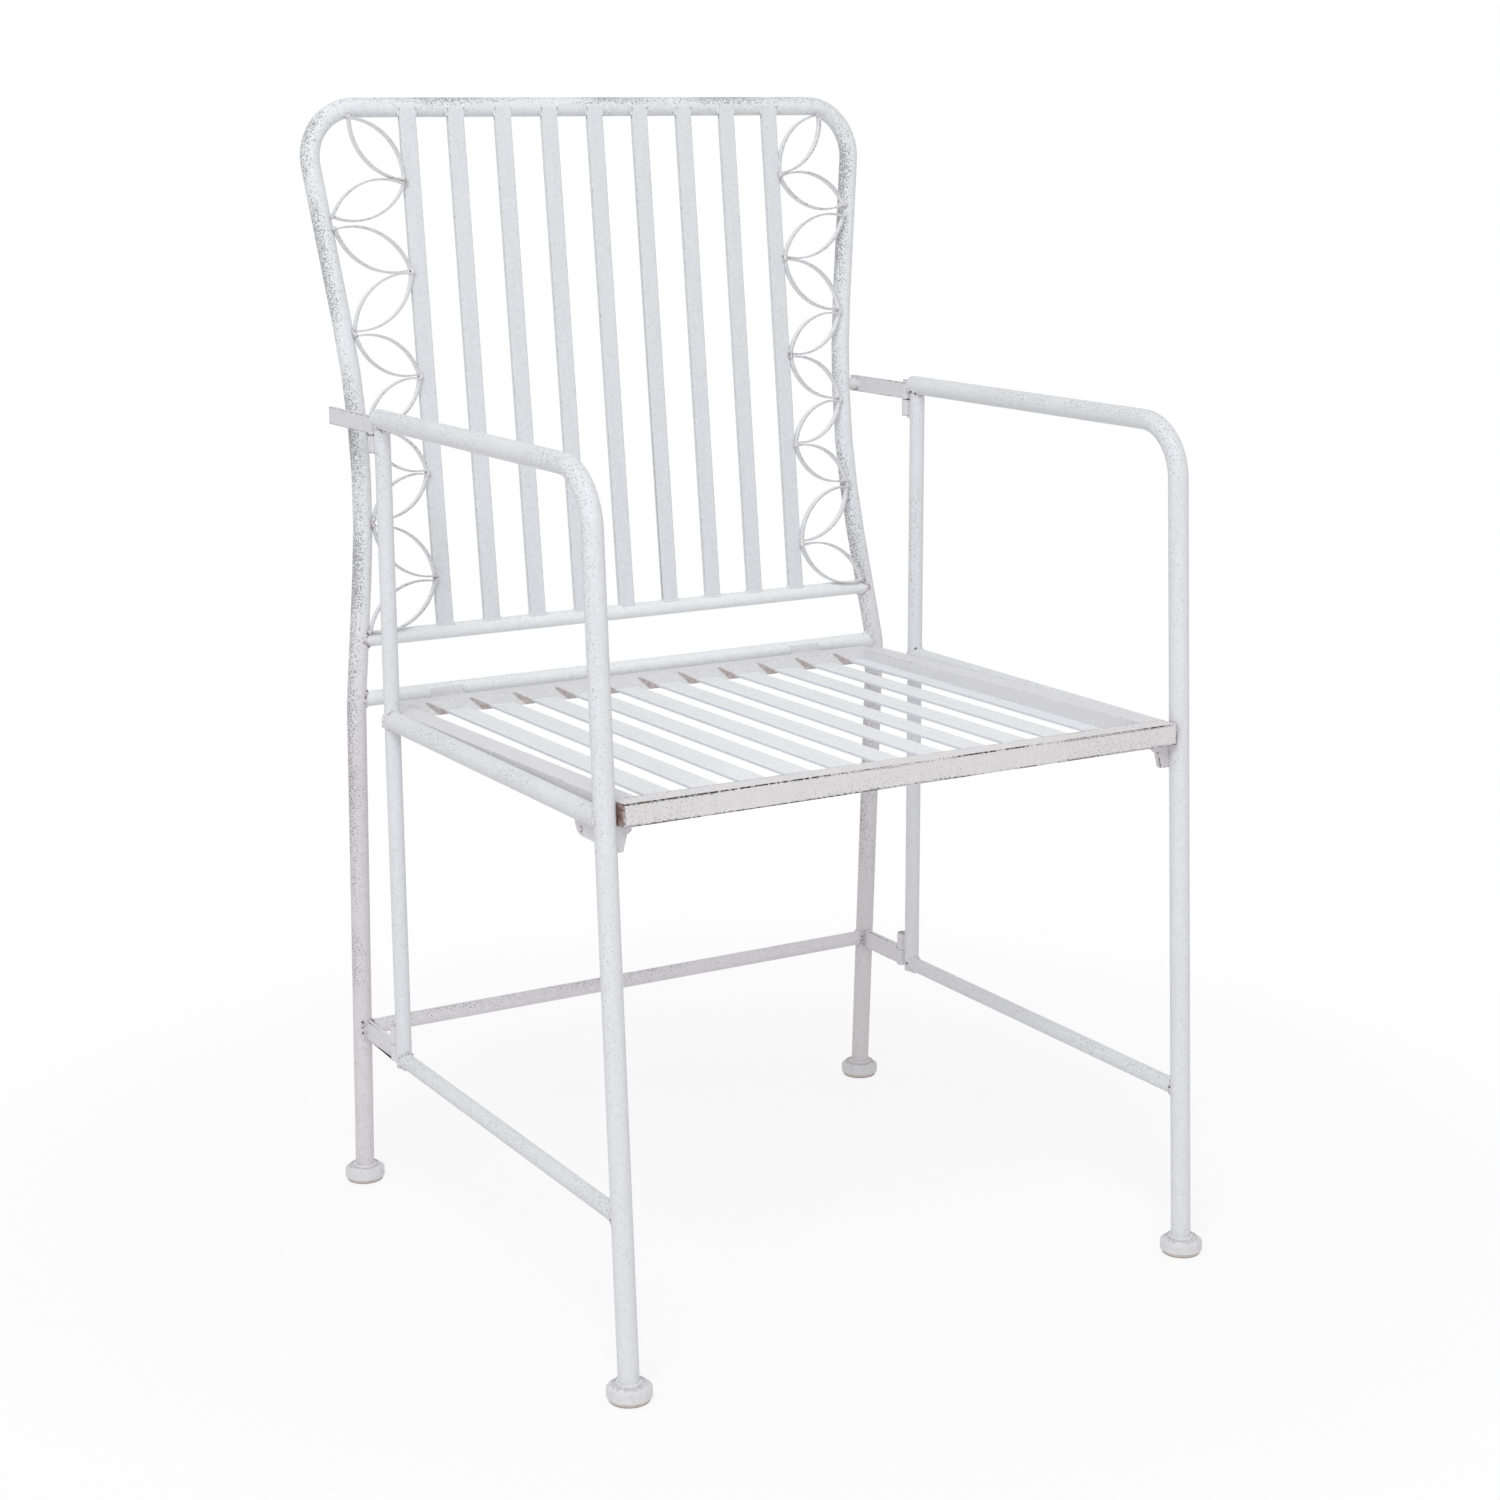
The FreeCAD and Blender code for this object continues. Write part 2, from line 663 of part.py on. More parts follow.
def barrels(side, x, post_core):
    """The two hinge barrels on a rear post, each with the plate that carries it."""
    heights = {
        "upper": ("upper_barrel_base", "upper_barrel_top", "upper_barrel_length", "gusset_slant"),
        "lower": ("lower_barrel_base", "lower_barrel_top", "lower_barrel_length", "0"),
    }
    for level, (base, top, length, slant) in heights.items():
        name = f"{level}_barrel_{side}"
        blank = cylinder(name + "_outside", "eye_radius", length, "Z", x, "hinge_y", base)
        bore = cylinder(name + "_bore", "barrel_bore", length, "Z", x, "hinge_y", base)
        keep(cut(name, blank, bore))
        gusset = plate(f"{level}_gusset_{side}_blank", "YZ_Plane", [
            ("post_y", top),
            ("hinge_y", top),
            ("hinge_y", base),
            ("post_y", f"{base} - {slant}"),
        ], "bar_thickness")
        put(gusset, x)
        keep(cut(f"{level}_gusset_{side}", gusset, post_core, blank))


def seat_rest(side, sign, trims):
    """The bracket on a front leg that the front bar of the seat comes down on."""
    inboard = -sign
    nose = plate(f"seat_rest_{side}_blank", "XZ_Plane", [
        (f"{inboard} * frame_radius / 2", "0"),
        (f"{inboard} * (rest_reach + rest_nose / 4)", "0"),
        (f"{inboard} * (rest_reach + rest_nose / 2)", "-rest_nose / 3"),
        (f"{inboard} * (rest_reach + rest_nose / 2)", "-rest_nose * 2 / 3"),
        (f"{inboard} * (rest_reach + rest_nose / 4)", "-rest_nose"),
        (f"{inboard} * rest_reach", "-rest_nose"),
        (f"{inboard} * (frame_radius + rest_foot)", "-rest_height"),
        (f"{inboard} * frame_radius / 2", "-rest_height"),
    ], "rest_thickness")
    put(nose, f"{sign} * side_x", "rest_y", "rest_top")
    keep(cut(f"seat_rest_{side}", nose, *trims))


def rail_gusset(side, sign, trims):
    """The rounded plate under the front end of a seat rail, with its rivet."""
    name = f"rail_gusset_{side}"
    x = f"{sign} * side_x - bar_thickness / 2"
    drop = "seat_rail_height - frame_radius - lobe_radius"
    web = box(name + "_web", "bar_thickness", "lobe_reach", "lobe_radius + frame_radius / 2")
    put(web, x, "seat_rail_front_y", drop)
    lobe = cylinder(name + "_lobe", "lobe_radius", "bar_thickness", "X", x,
                    "seat_rail_front_y + lobe_reach", "seat_rail_height - frame_radius")
    rivet_reach = "bar_thickness / 2 + lobe_rivet_height"
    outward = f"{sign} * side_x" if sign > 0 else f"{sign} * side_x - ({rivet_reach})"
    rivet = cylinder(name + "_rivet", "lobe_rivet / 2", rivet_reach, "X", outward,
                     "seat_rail_front_y + lobe_reach",
                     "seat_rail_height - frame_radius - lobe_radius / 2")
    keep(cut(name, fuse(name + "_whole", web, lobe, rivet), *trims))


def upper_hinge(side, sign, path, core):
    """The flat bar from a rear upright to the eye at the top of the hinge, and its stub."""
    x = f"{sign} * side_x"
    upright = crossing(path, worth("upper_bar_middle"))
    upright_y = "knee_y + (upper_bar_middle - knee_height) * tan(recline)"
    name = f"upper_hinge_bar_{side}"
    bar = plate(name + "_blank", "YZ_Plane", [
        ("hinge_y", "upper_bar_base"),
        (f"{upright_y} + hinge_bar_overrun", "upper_bar_base"),
        (f"{upright_y} + hinge_bar_overrun", "upper_bar_base + hinge_bar_height"),
        ("hinge_y", "upper_bar_base + hinge_bar_height"),
    ], "bar_thickness")
    put(bar, x)
    eye = cylinder(name + "_eye", "eye_radius", "hinge_bar_height",
                   "Z", x, "hinge_y", "upper_bar_base")
    bore = cylinder(name + "_bore", "pin_radius", "hinge_bar_height",
                    "Z", x, "hinge_y", "upper_bar_base")
    keep(cut(name, fuse(name + "_whole", bar, eye), bore))

    bar_face = worth("side_x - bar_thickness / 2")
    stub = doc.addObject("Part::Cylinder", f"hinge_stub_{side}_blank")
    bind(stub, {"Radius": "stub_diameter / 2"})
    stub.Height = bar_face - upright.x
    stub.Placement.Rotation = TURNS["X"]
    stub_start = f"{upright.x}" if sign > 0 else f"-(side_x - bar_thickness / 2)"
    put(stub, stub_start, upright_y, "upper_bar_middle")
    keep(cut(f"hinge_stub_{side}", stub, core))


def lower_hinge(side, sign, core):
    """The flat bar from a rear leg to the eye at the bottom of the hinge."""
    x = f"{sign} * side_x"
    leg_y = "rear_foot_y - lower_eye_top * tan(rear_leg_lean)"
    name = f"lower_hinge_bar_{side}"
    bar = plate(name + "_blank", "YZ_Plane", [
        ("hinge_y", "lower_eye_base"),
        (leg_y, "lower_eye_base"),
        (leg_y, "lower_eye_top + lower_bar_rise"),
        ("hinge_y + lower_bar_relief", "lower_eye_top + lower_bar_rise"),
        ("hinge_y + lower_bar_relief", "lower_eye_top"),
        ("hinge_y", "lower_eye_top"),
    ], "bar_thickness")
    put(bar, x)
    eye = cylinder(name + "_eye", "eye_radius", "lower_eye_height",
                   "Z", x, "hinge_y", "lower_eye_base")
    bore = cylinder(name + "_bore", "pin_radius", "lower_eye_height",
                    "Z", x, "hinge_y", "lower_eye_base")
    keep(cut(name, fuse(name + "_whole", bar, eye), bore, core))


def hinge_pins():
    """The pins of both side frames: headed above, plain below."""
    upper = []
    lower = []
    for side, sign in SIDES.items():
        x = f"{sign} * side_x"
        bar_top = "upper_bar_base + hinge_bar_height"
        shank = cylinder(f"upper_pin_{side}_shank", "pin_radius",
                         f"{bar_top} - upper_barrel_base - pin_end_inset",
                         "Z", x, "hinge_y", "upper_barrel_base + pin_end_inset")
        head = cylinder(f"upper_pin_{side}_head", "pin_head / 2", "pin_head_height",
                        "Z", x, "hinge_y", bar_top)
        upper.append(fuse(f"upper_pin_{side}", shank, head))
        lower.append(cylinder(f"lower_pin_{side}", "pin_radius",
                              "lower_barrel_top - lower_eye_base - 2 * pin_end_inset",
                              "Z", x, "hinge_y", "lower_eye_base"))
    keep(compound("upper_hinge_pins", upper))
    keep(compound("lower_hinge_pins", lower))


SEAT_ORIGIN = ("seat_front_y", "seat_front_top")


def put_on_seat(piece, x, y, z):
    """Place a piece from the middle of the seat's front top edge, Y along its depth."""
    put_leaning(piece, SEAT_ORIGIN, "seat_tilt", x, y, z)


def rim_bar(name, x, y, length, width, height):
    """A closed bar of rectangular tube in the rim of the seat; returns its outside."""
    outside = box(name + "_outside", length, width, height)
    put_on_seat(outside, x, y, f"-{height}")
    hollow = box(name + "_hollow", f"{length} - 2 * tube_wall", f"{width} - 2 * tube_wall",
                 f"{height} - 2 * tube_wall")
    put_on_seat(hollow, f"{x} + tube_wall", f"{y} + tube_wall", f"tube_wall - {height}")
    keep(cut(name, outside, hollow))
    return outside


def seat_rim():
    """Bars round the seat, the rear one lower and set in; returns what the slats end at."""
    front = rim_bar("seat_front_bar", "-seat_half", "0",
                    "2 * seat_half", "rim_width", "rim_height")
    rear = rim_bar("seat_rear_bar", "rear_bar_inset - seat_half", "slat_end",
                   "2 * (seat_half - rear_bar_inset)", "rim_width", "rear_bar_height")
    for side, x in (("left", "rim_inside"), ("right", "-seat_half")):
        rim_bar(f"seat_side_bar_{side}", x, "rim_width", "rim_width", "slat_run", "rim_height")
    return [front, rear]


SEAT_SLAT_ORIGIN = ("slat_end_y", "slat_end_z")


def seat_slats(ends):
    """The nearly level flat slats between the front and rear bars, with an edge strip at each side."""
    count = int(worth("slot_count"))
    pieces = []
    for number in range(count + 1):
        first_slot = f"-slot_field + {number} * slot_pitch"
        previous_slot_end = f"-slot_field + {number - 1} * slot_pitch + slot_width"
        left = "-rim_inside" if number == 0 else previous_slot_end
        right = "rim_inside" if number == count else first_slot
        name = f"seat_slat_{number + 1}"
        blank = box(name + "_bar", f"{right} - ({left})", "slat_run + 2 * slat_trim",
                    "seat_slat_thickness")
        put_leaning(blank, SEAT_SLAT_ORIGIN, "slat_tilt",
                    left, "-slat_run - slat_trim", "-seat_slat_thickness")
        pieces.append(cut(name, blank, *ends))
    keep(compound("seat_slats", pieces))


def seat_straps():
    """The straps of the seat's rear bar that wrap the crossbar, open at the top."""
    for side, sign in SIDES.items():
        name = f"seat_strap_{side}"
        x = f"{sign} * strap_spacing / 2 - strap_width / 2"
        wrap = cylinder(name + "_wrap", "strap_outside", "strap_width",
                        "X", x, "crossbar_y", "crossbar_height")
        bind(wrap, {"Angle": "strap_wrap"})
        around_x = Rotation(Vector(1, 0, 0), worth("strap_start"))
        wrap.Placement.Rotation = around_x.multiply(Rotation(Vector(1, 1, 1), 120))
        tongue = box(name + "_tongue", "strap_width", "seat_hinge_gap + thin_radius",
                     "tongue_height")
        put_on_seat(tongue, x, "seat_depth", "-tongue_height")
        inside = cylinder(name + "_inside", "strap_inside", "strap_width",
                          "X", x, "crossbar_y", "crossbar_height")
        keep(cut(name, fuse(name + "_whole", wrap, tongue), inside))


def rear_feet(core):
    pads = []
    for side, sign in SIDES.items():
        x = f"{sign} * leg_x"
        foot(f"rear_foot_{side}", x, "rear_foot_y", [core])
        pads.append(cylinder(f"rear_pad_{side}", "pad_diameter / 2", "pad_height",
                             "Z", x, "rear_foot_y"))
    keep(compound("rear_pads", pads))


def build():
    fill_sheet()
    path, core = back_frame()
    rail = cross_tubes(core)
    slats = back_slats(core, rail)
    leaves(path, core, rail, slats)
    for side, sign in SIDES.items():
        side_frame(side, sign)
        upper_hinge(side, sign, path, core)
        lower_hinge(side, sign, core)
    hinge_pins()
    ends = seat_rim()
    seat_slats(ends)
    seat_straps()
    rear_feet(core)
    doc.recompute()


def check():
    """Stop if any object failed or any sub-part is not a sound solid."""
    failed = [item.Label for item in doc.Objects if {"Invalid", "Error"} & set(item.State)]
    unsound = [node.Label for node in nodes if node.Shape.isNull() or not node.Shape.isValid()]
    empty = [node.Label for node in nodes if not node.Shape.Solids]
    if failed or unsound or empty:
        raise RuntimeError(f"failed {failed}, unsound {unsound}, without a solid {empty}")


def write_parts():
    os.makedirs("parts", exist_ok=True)
    for node in nodes:
        node.Shape.exportStep(f"parts/{node.Label}.step")
        print(f"{node.Label}: {len(node.Shape.Solids)} solids, {node.Shape.Volume:.0f} mm3")


build()
check()
write_parts()
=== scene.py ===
import math

import bpy
from mathutils import Euler, Matrix, Vector


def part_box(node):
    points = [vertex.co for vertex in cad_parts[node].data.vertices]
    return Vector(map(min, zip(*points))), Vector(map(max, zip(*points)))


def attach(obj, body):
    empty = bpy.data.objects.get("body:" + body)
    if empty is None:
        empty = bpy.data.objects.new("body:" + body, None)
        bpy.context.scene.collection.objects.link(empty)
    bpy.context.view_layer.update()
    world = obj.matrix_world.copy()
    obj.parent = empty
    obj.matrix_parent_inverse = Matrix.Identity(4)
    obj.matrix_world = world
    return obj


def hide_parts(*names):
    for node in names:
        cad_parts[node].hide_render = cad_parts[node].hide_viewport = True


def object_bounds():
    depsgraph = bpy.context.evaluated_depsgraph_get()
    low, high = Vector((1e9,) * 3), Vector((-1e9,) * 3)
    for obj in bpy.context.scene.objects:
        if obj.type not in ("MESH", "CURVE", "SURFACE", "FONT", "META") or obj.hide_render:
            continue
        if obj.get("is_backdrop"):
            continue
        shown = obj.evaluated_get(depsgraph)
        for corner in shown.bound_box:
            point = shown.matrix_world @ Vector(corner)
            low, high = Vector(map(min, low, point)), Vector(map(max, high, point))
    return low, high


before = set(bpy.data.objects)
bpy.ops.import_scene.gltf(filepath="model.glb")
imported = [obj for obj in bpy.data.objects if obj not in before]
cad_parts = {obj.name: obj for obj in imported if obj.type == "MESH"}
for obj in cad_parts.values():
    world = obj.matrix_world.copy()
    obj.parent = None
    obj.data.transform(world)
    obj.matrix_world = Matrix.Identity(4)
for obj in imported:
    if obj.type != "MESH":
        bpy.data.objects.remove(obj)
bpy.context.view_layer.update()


# The camera stands in front of the sitter's right, a little above the chair, and looks slightly down.
# Its place comes from the straight tubes of the photograph, which shows the whole chair in a square.
CAMERA_PLACE = (-1.0929, -1.8659, 0.9125)
CAMERA_YAW = math.radians(-30.35)
CAMERA_PITCH = math.radians(-13.28)
CAMERA_ROLL = math.radians(-0.25)
CAMERA_LENS = 64.93
SENSOR_WIDTH = 36.0

bpy.ops.object.camera_add(location=CAMERA_PLACE)
camera = bpy.context.object
camera.name = "photo_camera"
camera.data.lens = CAMERA_LENS
camera.data.sensor_width = SENSOR_WIDTH
aim = Euler((math.pi / 2 + CAMERA_PITCH, 0.0, CAMERA_YAW)).to_matrix()
camera.rotation_euler = (aim @ Matrix.Rotation(CAMERA_ROLL, 3, "Z")).to_euler()
bpy.context.scene.camera = camera


# The floor is a plain white sheet that keeps the soft shadow of the chair
# and turns to plain white a metre away, like the background.
FLOOR_WIDTH = 60.0
FLOOR_DROP = 0.0005
FLOOR_COLOUR = (0.90, 0.90, 0.91, 1.0)
FADE_START, FADE_END = 0.35, 1.0
WHITE_NEAR, WHITE_FAR = 0.82, 1.0


def add_node(tree, kind, **settings):
    """A new node of a material, with its settings."""
    node = tree.nodes.new(kind)
    for name, value in settings.items():
        setattr(node, name, value)
    return node


def feed(tree, socket, value):
    """Give an input its value: a link from another socket, or a plain number or colour."""
    if isinstance(value, bpy.types.NodeSocket):
        tree.links.new(value, socket)
    else:
        socket.default_value = value


def sums(tree, operation, first, second=0.0):
    """One step of arithmetic on two inputs."""
    node = add_node(tree, "ShaderNodeMath", operation=operation)
    feed(tree, node.inputs[0], first)
    feed(tree, node.inputs[1], second)
    return node.outputs["Value"]


def ramp(tree, value, low, high, bottom=0.0, top=1.0):
    """From bottom to top as a value goes from low to high."""
    node = add_node(tree, "ShaderNodeMapRange")
    for name, given in (("Value", value), ("From Min", low), ("From Max", high),
                        ("To Min", bottom), ("To Max", top)):
        feed(tree, node.inputs[name], given)
    return node.outputs["Result"]


def object_place(tree):
    """The place of each point in the object's own metres."""
    return add_node(tree, "ShaderNodeTexCoord").outputs["Object"]


def looked_at(tree):
    """1 for what the camera sees, straight or in a gloss, and 0 for what lights the object."""
    ray = add_node(tree, "ShaderNodeLightPath").outputs
    gloss = sums(tree, "MAXIMUM", ray["Is Glossy Ray"], ray["Is Transmission Ray"])
    return sums(tree, "MAXIMUM", ray["Is Camera Ray"], gloss)


bpy.ops.mesh.primitive_plane_add(size=FLOOR_WIDTH, location=(0.0, 0.0, -FLOOR_DROP))
floor = bpy.context.object
floor.name = "floor"
bpy.ops.object.transform_apply(location=True, rotation=True, scale=True)
floor_finish = bpy.data.materials.new("floor_white")
floor_finish.use_nodes = True
floor.data.materials.append(floor_finish)
tree = floor_finish.node_tree
sheet = tree.nodes["Principled BSDF"]
sheet.inputs["Base Color"].default_value = FLOOR_COLOUR
sheet.inputs["Roughness"].default_value = 0.9
sheet.inputs["Specular IOR Level"].default_value = 0.1
out_from_chair = add_node(tree, "ShaderNodeVectorMath", operation="LENGTH")
tree.links.new(object_place(tree), out_from_chair.inputs[0])
whiteness = ramp(tree, out_from_chair.outputs["Value"], FADE_START, FADE_END, WHITE_NEAR, WHITE_FAR)
bright = add_node(tree, "ShaderNodeEmission")
blend = add_node(tree, "ShaderNodeMixShader")
tree.links.new(sums(tree, "MULTIPLY", looked_at(tree), whiteness), blend.inputs["Fac"])
tree.links.new(sheet.outputs["BSDF"], blend.inputs[1])
tree.links.new(bright.outputs["Emission"], blend.inputs[2])
tree.links.new(blend.outputs["Shader"], tree.nodes["Material Output"].inputs["Surface"])
floor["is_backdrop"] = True


# The light is a plain white studio: an even, slightly warm surround, and one broad cool lamp
# from in front of the chair, on the sitter's right and above.
SURROUND_COLOUR = (1.0, 0.978, 0.972, 1.0)
SURROUND_STRENGTH = 0.66
LAMP_PLACE = (-1.6, -2.0, 3.1)
LAMP_AIM = (0.0, 0.0, 0.45)
LAMP_WIDTH = 1.8
LAMP_POWER = 57.0
LAMP_COLOUR = (0.94, 0.97, 1.0)

world = bpy.data.worlds.new("studio_surround")
bpy.context.scene.world = world
world.use_nodes = True
tree = world.node_tree
surround = tree.nodes["Background"]
surround.inputs["Color"].default_value = SURROUND_COLOUR
surround.inputs["Strength"].default_value = SURROUND_STRENGTH
white = add_node(tree, "ShaderNodeBackground")
white.inputs["Color"].default_value = (1.0, 1.0, 1.0, 1.0)
blend = add_node(tree, "ShaderNodeMixShader")
tree.links.new(looked_at(tree), blend.inputs["Fac"])
tree.links.new(surround.outputs["Background"], blend.inputs[1])
tree.links.new(white.outputs["Background"], blend.inputs[2])
tree.links.new(blend.outputs["Shader"], tree.nodes["World Output"].inputs["Surface"])

bpy.ops.object.light_add(type="AREA", location=LAMP_PLACE)
lamp = bpy.context.object
lamp.name = "front_softbox"
lamp.data.size = LAMP_WIDTH
lamp.data.energy = LAMP_POWER
lamp.data.color = LAMP_COLOUR
lamp.rotation_euler = (Vector(LAMP_AIM) - Vector(LAMP_PLACE)).to_track_quat("-Z", "Y").to_euler()
bpy.context.scene.view_settings.view_transform = "Standard"


# Paint. The whole chair is brushed white over dark steel, and rubbed back as antique white.
# Fine dark specks show through on the rubbed side of the tubes, and chips along the edges of flat bar.
def noise(tree, coordinates, scale, detail, roughness=0.5):
    """Cloudy noise; its scale is about how many clouds stand in a metre."""
    node = add_node(tree, "ShaderNodeTexNoise")
    node.inputs["Scale"].default_value = scale
    node.inputs["Detail"].default_value = detail
    node.inputs["Roughness"].default_value = roughness
    tree.links.new(coordinates, node.inputs["Vector"])
    return node.outputs["Fac"]


def stretched(tree, coordinates, scale):
    """Coordinates scaled along each axis, for brush strokes."""
    node = add_node(tree, "ShaderNodeMapping")
    node.inputs["Scale"].default_value = scale
    tree.links.new(coordinates, node.inputs["Vector"])
    return node.outputs["Vector"]


def tint(tree, share, first, second):
    """A mix of two colours; the node keeps its factor, colours and result at these numbers."""
    node = add_node(tree, "ShaderNodeMix", data_type="RGBA")
    for number, value in ((0, share), (6, first), (7, second)):
        feed(tree, node.inputs[number], value)
    return node.outputs[2]


def bumps(tree, height, depth, strength=1.0):
    """A normal that follows a height."""
    node = add_node(tree, "ShaderNodeBump")
    node.inputs["Strength"].default_value = strength
    node.inputs["Distance"].default_value = depth
    tree.links.new(height, node.inputs["Height"])
    return node.outputs["Normal"]


PATCH_SCALE = 11.0
RUN_SCALE = 17.0
STROKE_SCALE = 230.0
STROKE_STRETCH = 0.10
FLAKE_SCALE = 310.0
GRAIN_SCALE = 850.0

antique = bpy.data.node_groups.new("antique_white_effects", "ShaderNodeTree")
for name, kind in (("Paint", "NodeSocketColor"), ("Rubbed", "NodeSocketFloat"),
                   ("Specks", "NodeSocketFloat"), ("Chips", "NodeSocketFloat"),
                   ("Grey Edges", "NodeSocketFloat")):
    antique.interface.new_socket(name, in_out="INPUT", socket_type=kind)
for name, kind in (("Colour", "NodeSocketColor"), ("Roughness", "NodeSocketFloat"),
                   ("Normal", "NodeSocketVector")):
    antique.interface.new_socket(name, in_out="OUTPUT", socket_type=kind)
given = add_node(antique, "NodeGroupInput").outputs
result = add_node(antique, "NodeGroupOutput").inputs
place = object_place(antique)
patches = noise(antique, place, PATCH_SCALE, detail=3.0)
flakes = noise(antique, place, FLAKE_SCALE, detail=6.0, roughness=0.65)
grain = noise(antique, place, GRAIN_SCALE, detail=1.5)
strokes_along, strokes_up = (
    noise(antique, stretched(antique, place, pull), STROKE_SCALE, detail=3.0, roughness=0.6)
    for pull in ((1.0, STROKE_STRETCH, 1.0), (1.0, 1.0, STROKE_STRETCH)))
brushing = sums(antique, "MULTIPLY", sums(antique, "ADD", strokes_along, strokes_up), 0.5)

# Specks gather in patches, more where the surface was rubbed. They show where the grain is
# above an edge, which rubbing lowers.
SPECK_EDGE = 0.665
SPECK_EDGE_FALL = 0.155
SPECK_SOFTNESS = 0.06
DARKEST_SPECK = 0.66

patch_level = ramp(antique, patches, 0.38, 0.56, 0.32, 1.0)
rub_level = ramp(antique, given["Rubbed"], 0.0, 0.75, 0.25, 1.0)
speck_level = sums(antique, "MULTIPLY", sums(antique, "MULTIPLY", patch_level, rub_level), given["Specks"])
speck_edge = sums(antique, "SUBTRACT", SPECK_EDGE, sums(antique, "MULTIPLY", speck_level, SPECK_EDGE_FALL))
speck = ramp(antique, grain, speck_edge, sums(antique, "ADD", speck_edge, SPECK_SOFTNESS))
speck_depth = sums(antique, "MINIMUM", ramp(antique, speck_level, 0.0, 1.0, 0.20, 0.9), DARKEST_SPECK)
speck = sums(antique, "MULTIPLY", speck, speck_depth)

# Chips break through to dark steel at rubbed edges only, in runs with clean paint between,
# and leave a faint rust stain round them.
CHIP_EDGE = 0.80
CHIP_EDGE_FALL = 0.33
CHIP_SOFTNESS = 0.035
STAIN_REACH = 0.12
STAIN_SHARE = 0.45

runs = ramp(antique, noise(antique, place, RUN_SCALE, detail=2.0), 0.30, 0.54, 0.15, 1.0)
edge_level = ramp(antique, given["Rubbed"], 0.5, 0.9)
chip_level = sums(antique, "MULTIPLY", sums(antique, "MULTIPLY", edge_level, given["Chips"]), runs)
chip_edge = sums(antique, "SUBTRACT", CHIP_EDGE, sums(antique, "MULTIPLY", chip_level, CHIP_EDGE_FALL))
chip_shows = ramp(antique, chip_level, 0.04, 0.25)
chip = ramp(antique, flakes, chip_edge, sums(antique, "ADD", chip_edge, CHIP_SOFTNESS))
chip = sums(antique, "MULTIPLY", chip, chip_shows)
stain = ramp(antique, flakes, sums(antique, "SUBTRACT", chip_edge, STAIN_REACH), chip_edge)
stain = sums(antique, "MULTIPLY", sums(antique, "MULTIPLY", stain, chip_shows), STAIN_SHARE)

# The brush leaves faint grey strokes, thin paint lets the steel through, and each layer of wear
# goes over the one before.
STROKE_SHADE = (0.48, 0.46, 0.47, 1.0)
STROKE_SHARE = 0.12
THIN_PAINT = (0.42, 0.40, 0.41, 1.0)
THIN_SHARE = 0.16
RUBBED_GREY = (0.20, 0.20, 0.21, 1.0)
SPECK_COLOUR = (0.13, 0.12, 0.13, 1.0)
STAIN_COLOUR = (0.33, 0.26, 0.23, 1.0)
DARK_STEEL = (0.012, 0.010, 0.012, 1.0)
BROWN_STEEL = (0.075, 0.045, 0.035, 1.0)
PAINT_ROUGHNESS = 0.45
BUMP_STRENGTH = 0.6
BUMP_DEPTH = 0.0005

stroke_level = sums(antique, "MULTIPLY", ramp(antique, brushing, 0.35, 0.65), STROKE_SHARE)
grey_level = sums(antique, "MULTIPLY", given["Grey Edges"], edge_level)
coat = tint(antique, stroke_level, given["Paint"], STROKE_SHADE)
coat = tint(antique, ramp(antique, flakes, 0.42, 0.70, 0.0, THIN_SHARE), coat, THIN_PAINT)
coat = tint(antique, grey_level, coat, RUBBED_GREY)
coat = tint(antique, speck, coat, SPECK_COLOUR)
coat = tint(antique, stain, coat, STAIN_COLOUR)
steel = tint(antique, ramp(antique, patches, 0.35, 0.65), DARK_STEEL, BROWN_STEEL)
antique.links.new(tint(antique, chip, coat, steel), result["Colour"])
dull = sums(antique, "ADD", PAINT_ROUGHNESS, sums(antique, "MULTIPLY", brushing, 0.2))
antique.links.new(sums(antique, "ADD", dull, sums(antique, "MULTIPLY", chip, 0.2)), result["Roughness"])
height = sums(antique, "ADD", sums(antique, "MULTIPLY", grain, 0.8),
              sums(antique, "MULTIPLY", brushing, 0.7))
height = sums(antique, "SUBTRACT", height, sums(antique, "ADD", speck, chip))
antique.links.new(bumps(antique, height, BUMP_DEPTH, BUMP_STRENGTH), result["Normal"])


def painted(name, paint, specks, chips, grey_edges=0.0):
    """A finish of antique white; the mesh's own value "rubbed" says where it is worn."""
    finish = bpy.data.materials.new(name)
    finish.use_nodes = True
    tree = finish.node_tree
    effects = add_node(tree, "ShaderNodeGroup", node_tree=antique)
    effects.inputs["Paint"].default_value = paint
    effects.inputs["Specks"].default_value = specks
    effects.inputs["Chips"].default_value = chips
    effects.inputs["Grey Edges"].default_value = grey_edges
    rubbed = add_node(tree, "ShaderNodeAttribute", attribute_name="rubbed")
    tree.links.new(rubbed.outputs["Fac"], effects.inputs["Rubbed"])
    coat = tree.nodes["Principled BSDF"]
    tree.links.new(effects.outputs["Colour"], coat.inputs["Base Color"])
    tree.links.new(effects.outputs["Roughness"], coat.inputs["Roughness"])
    tree.links.new(effects.outputs["Normal"], coat.inputs["Normal"])
    return finish


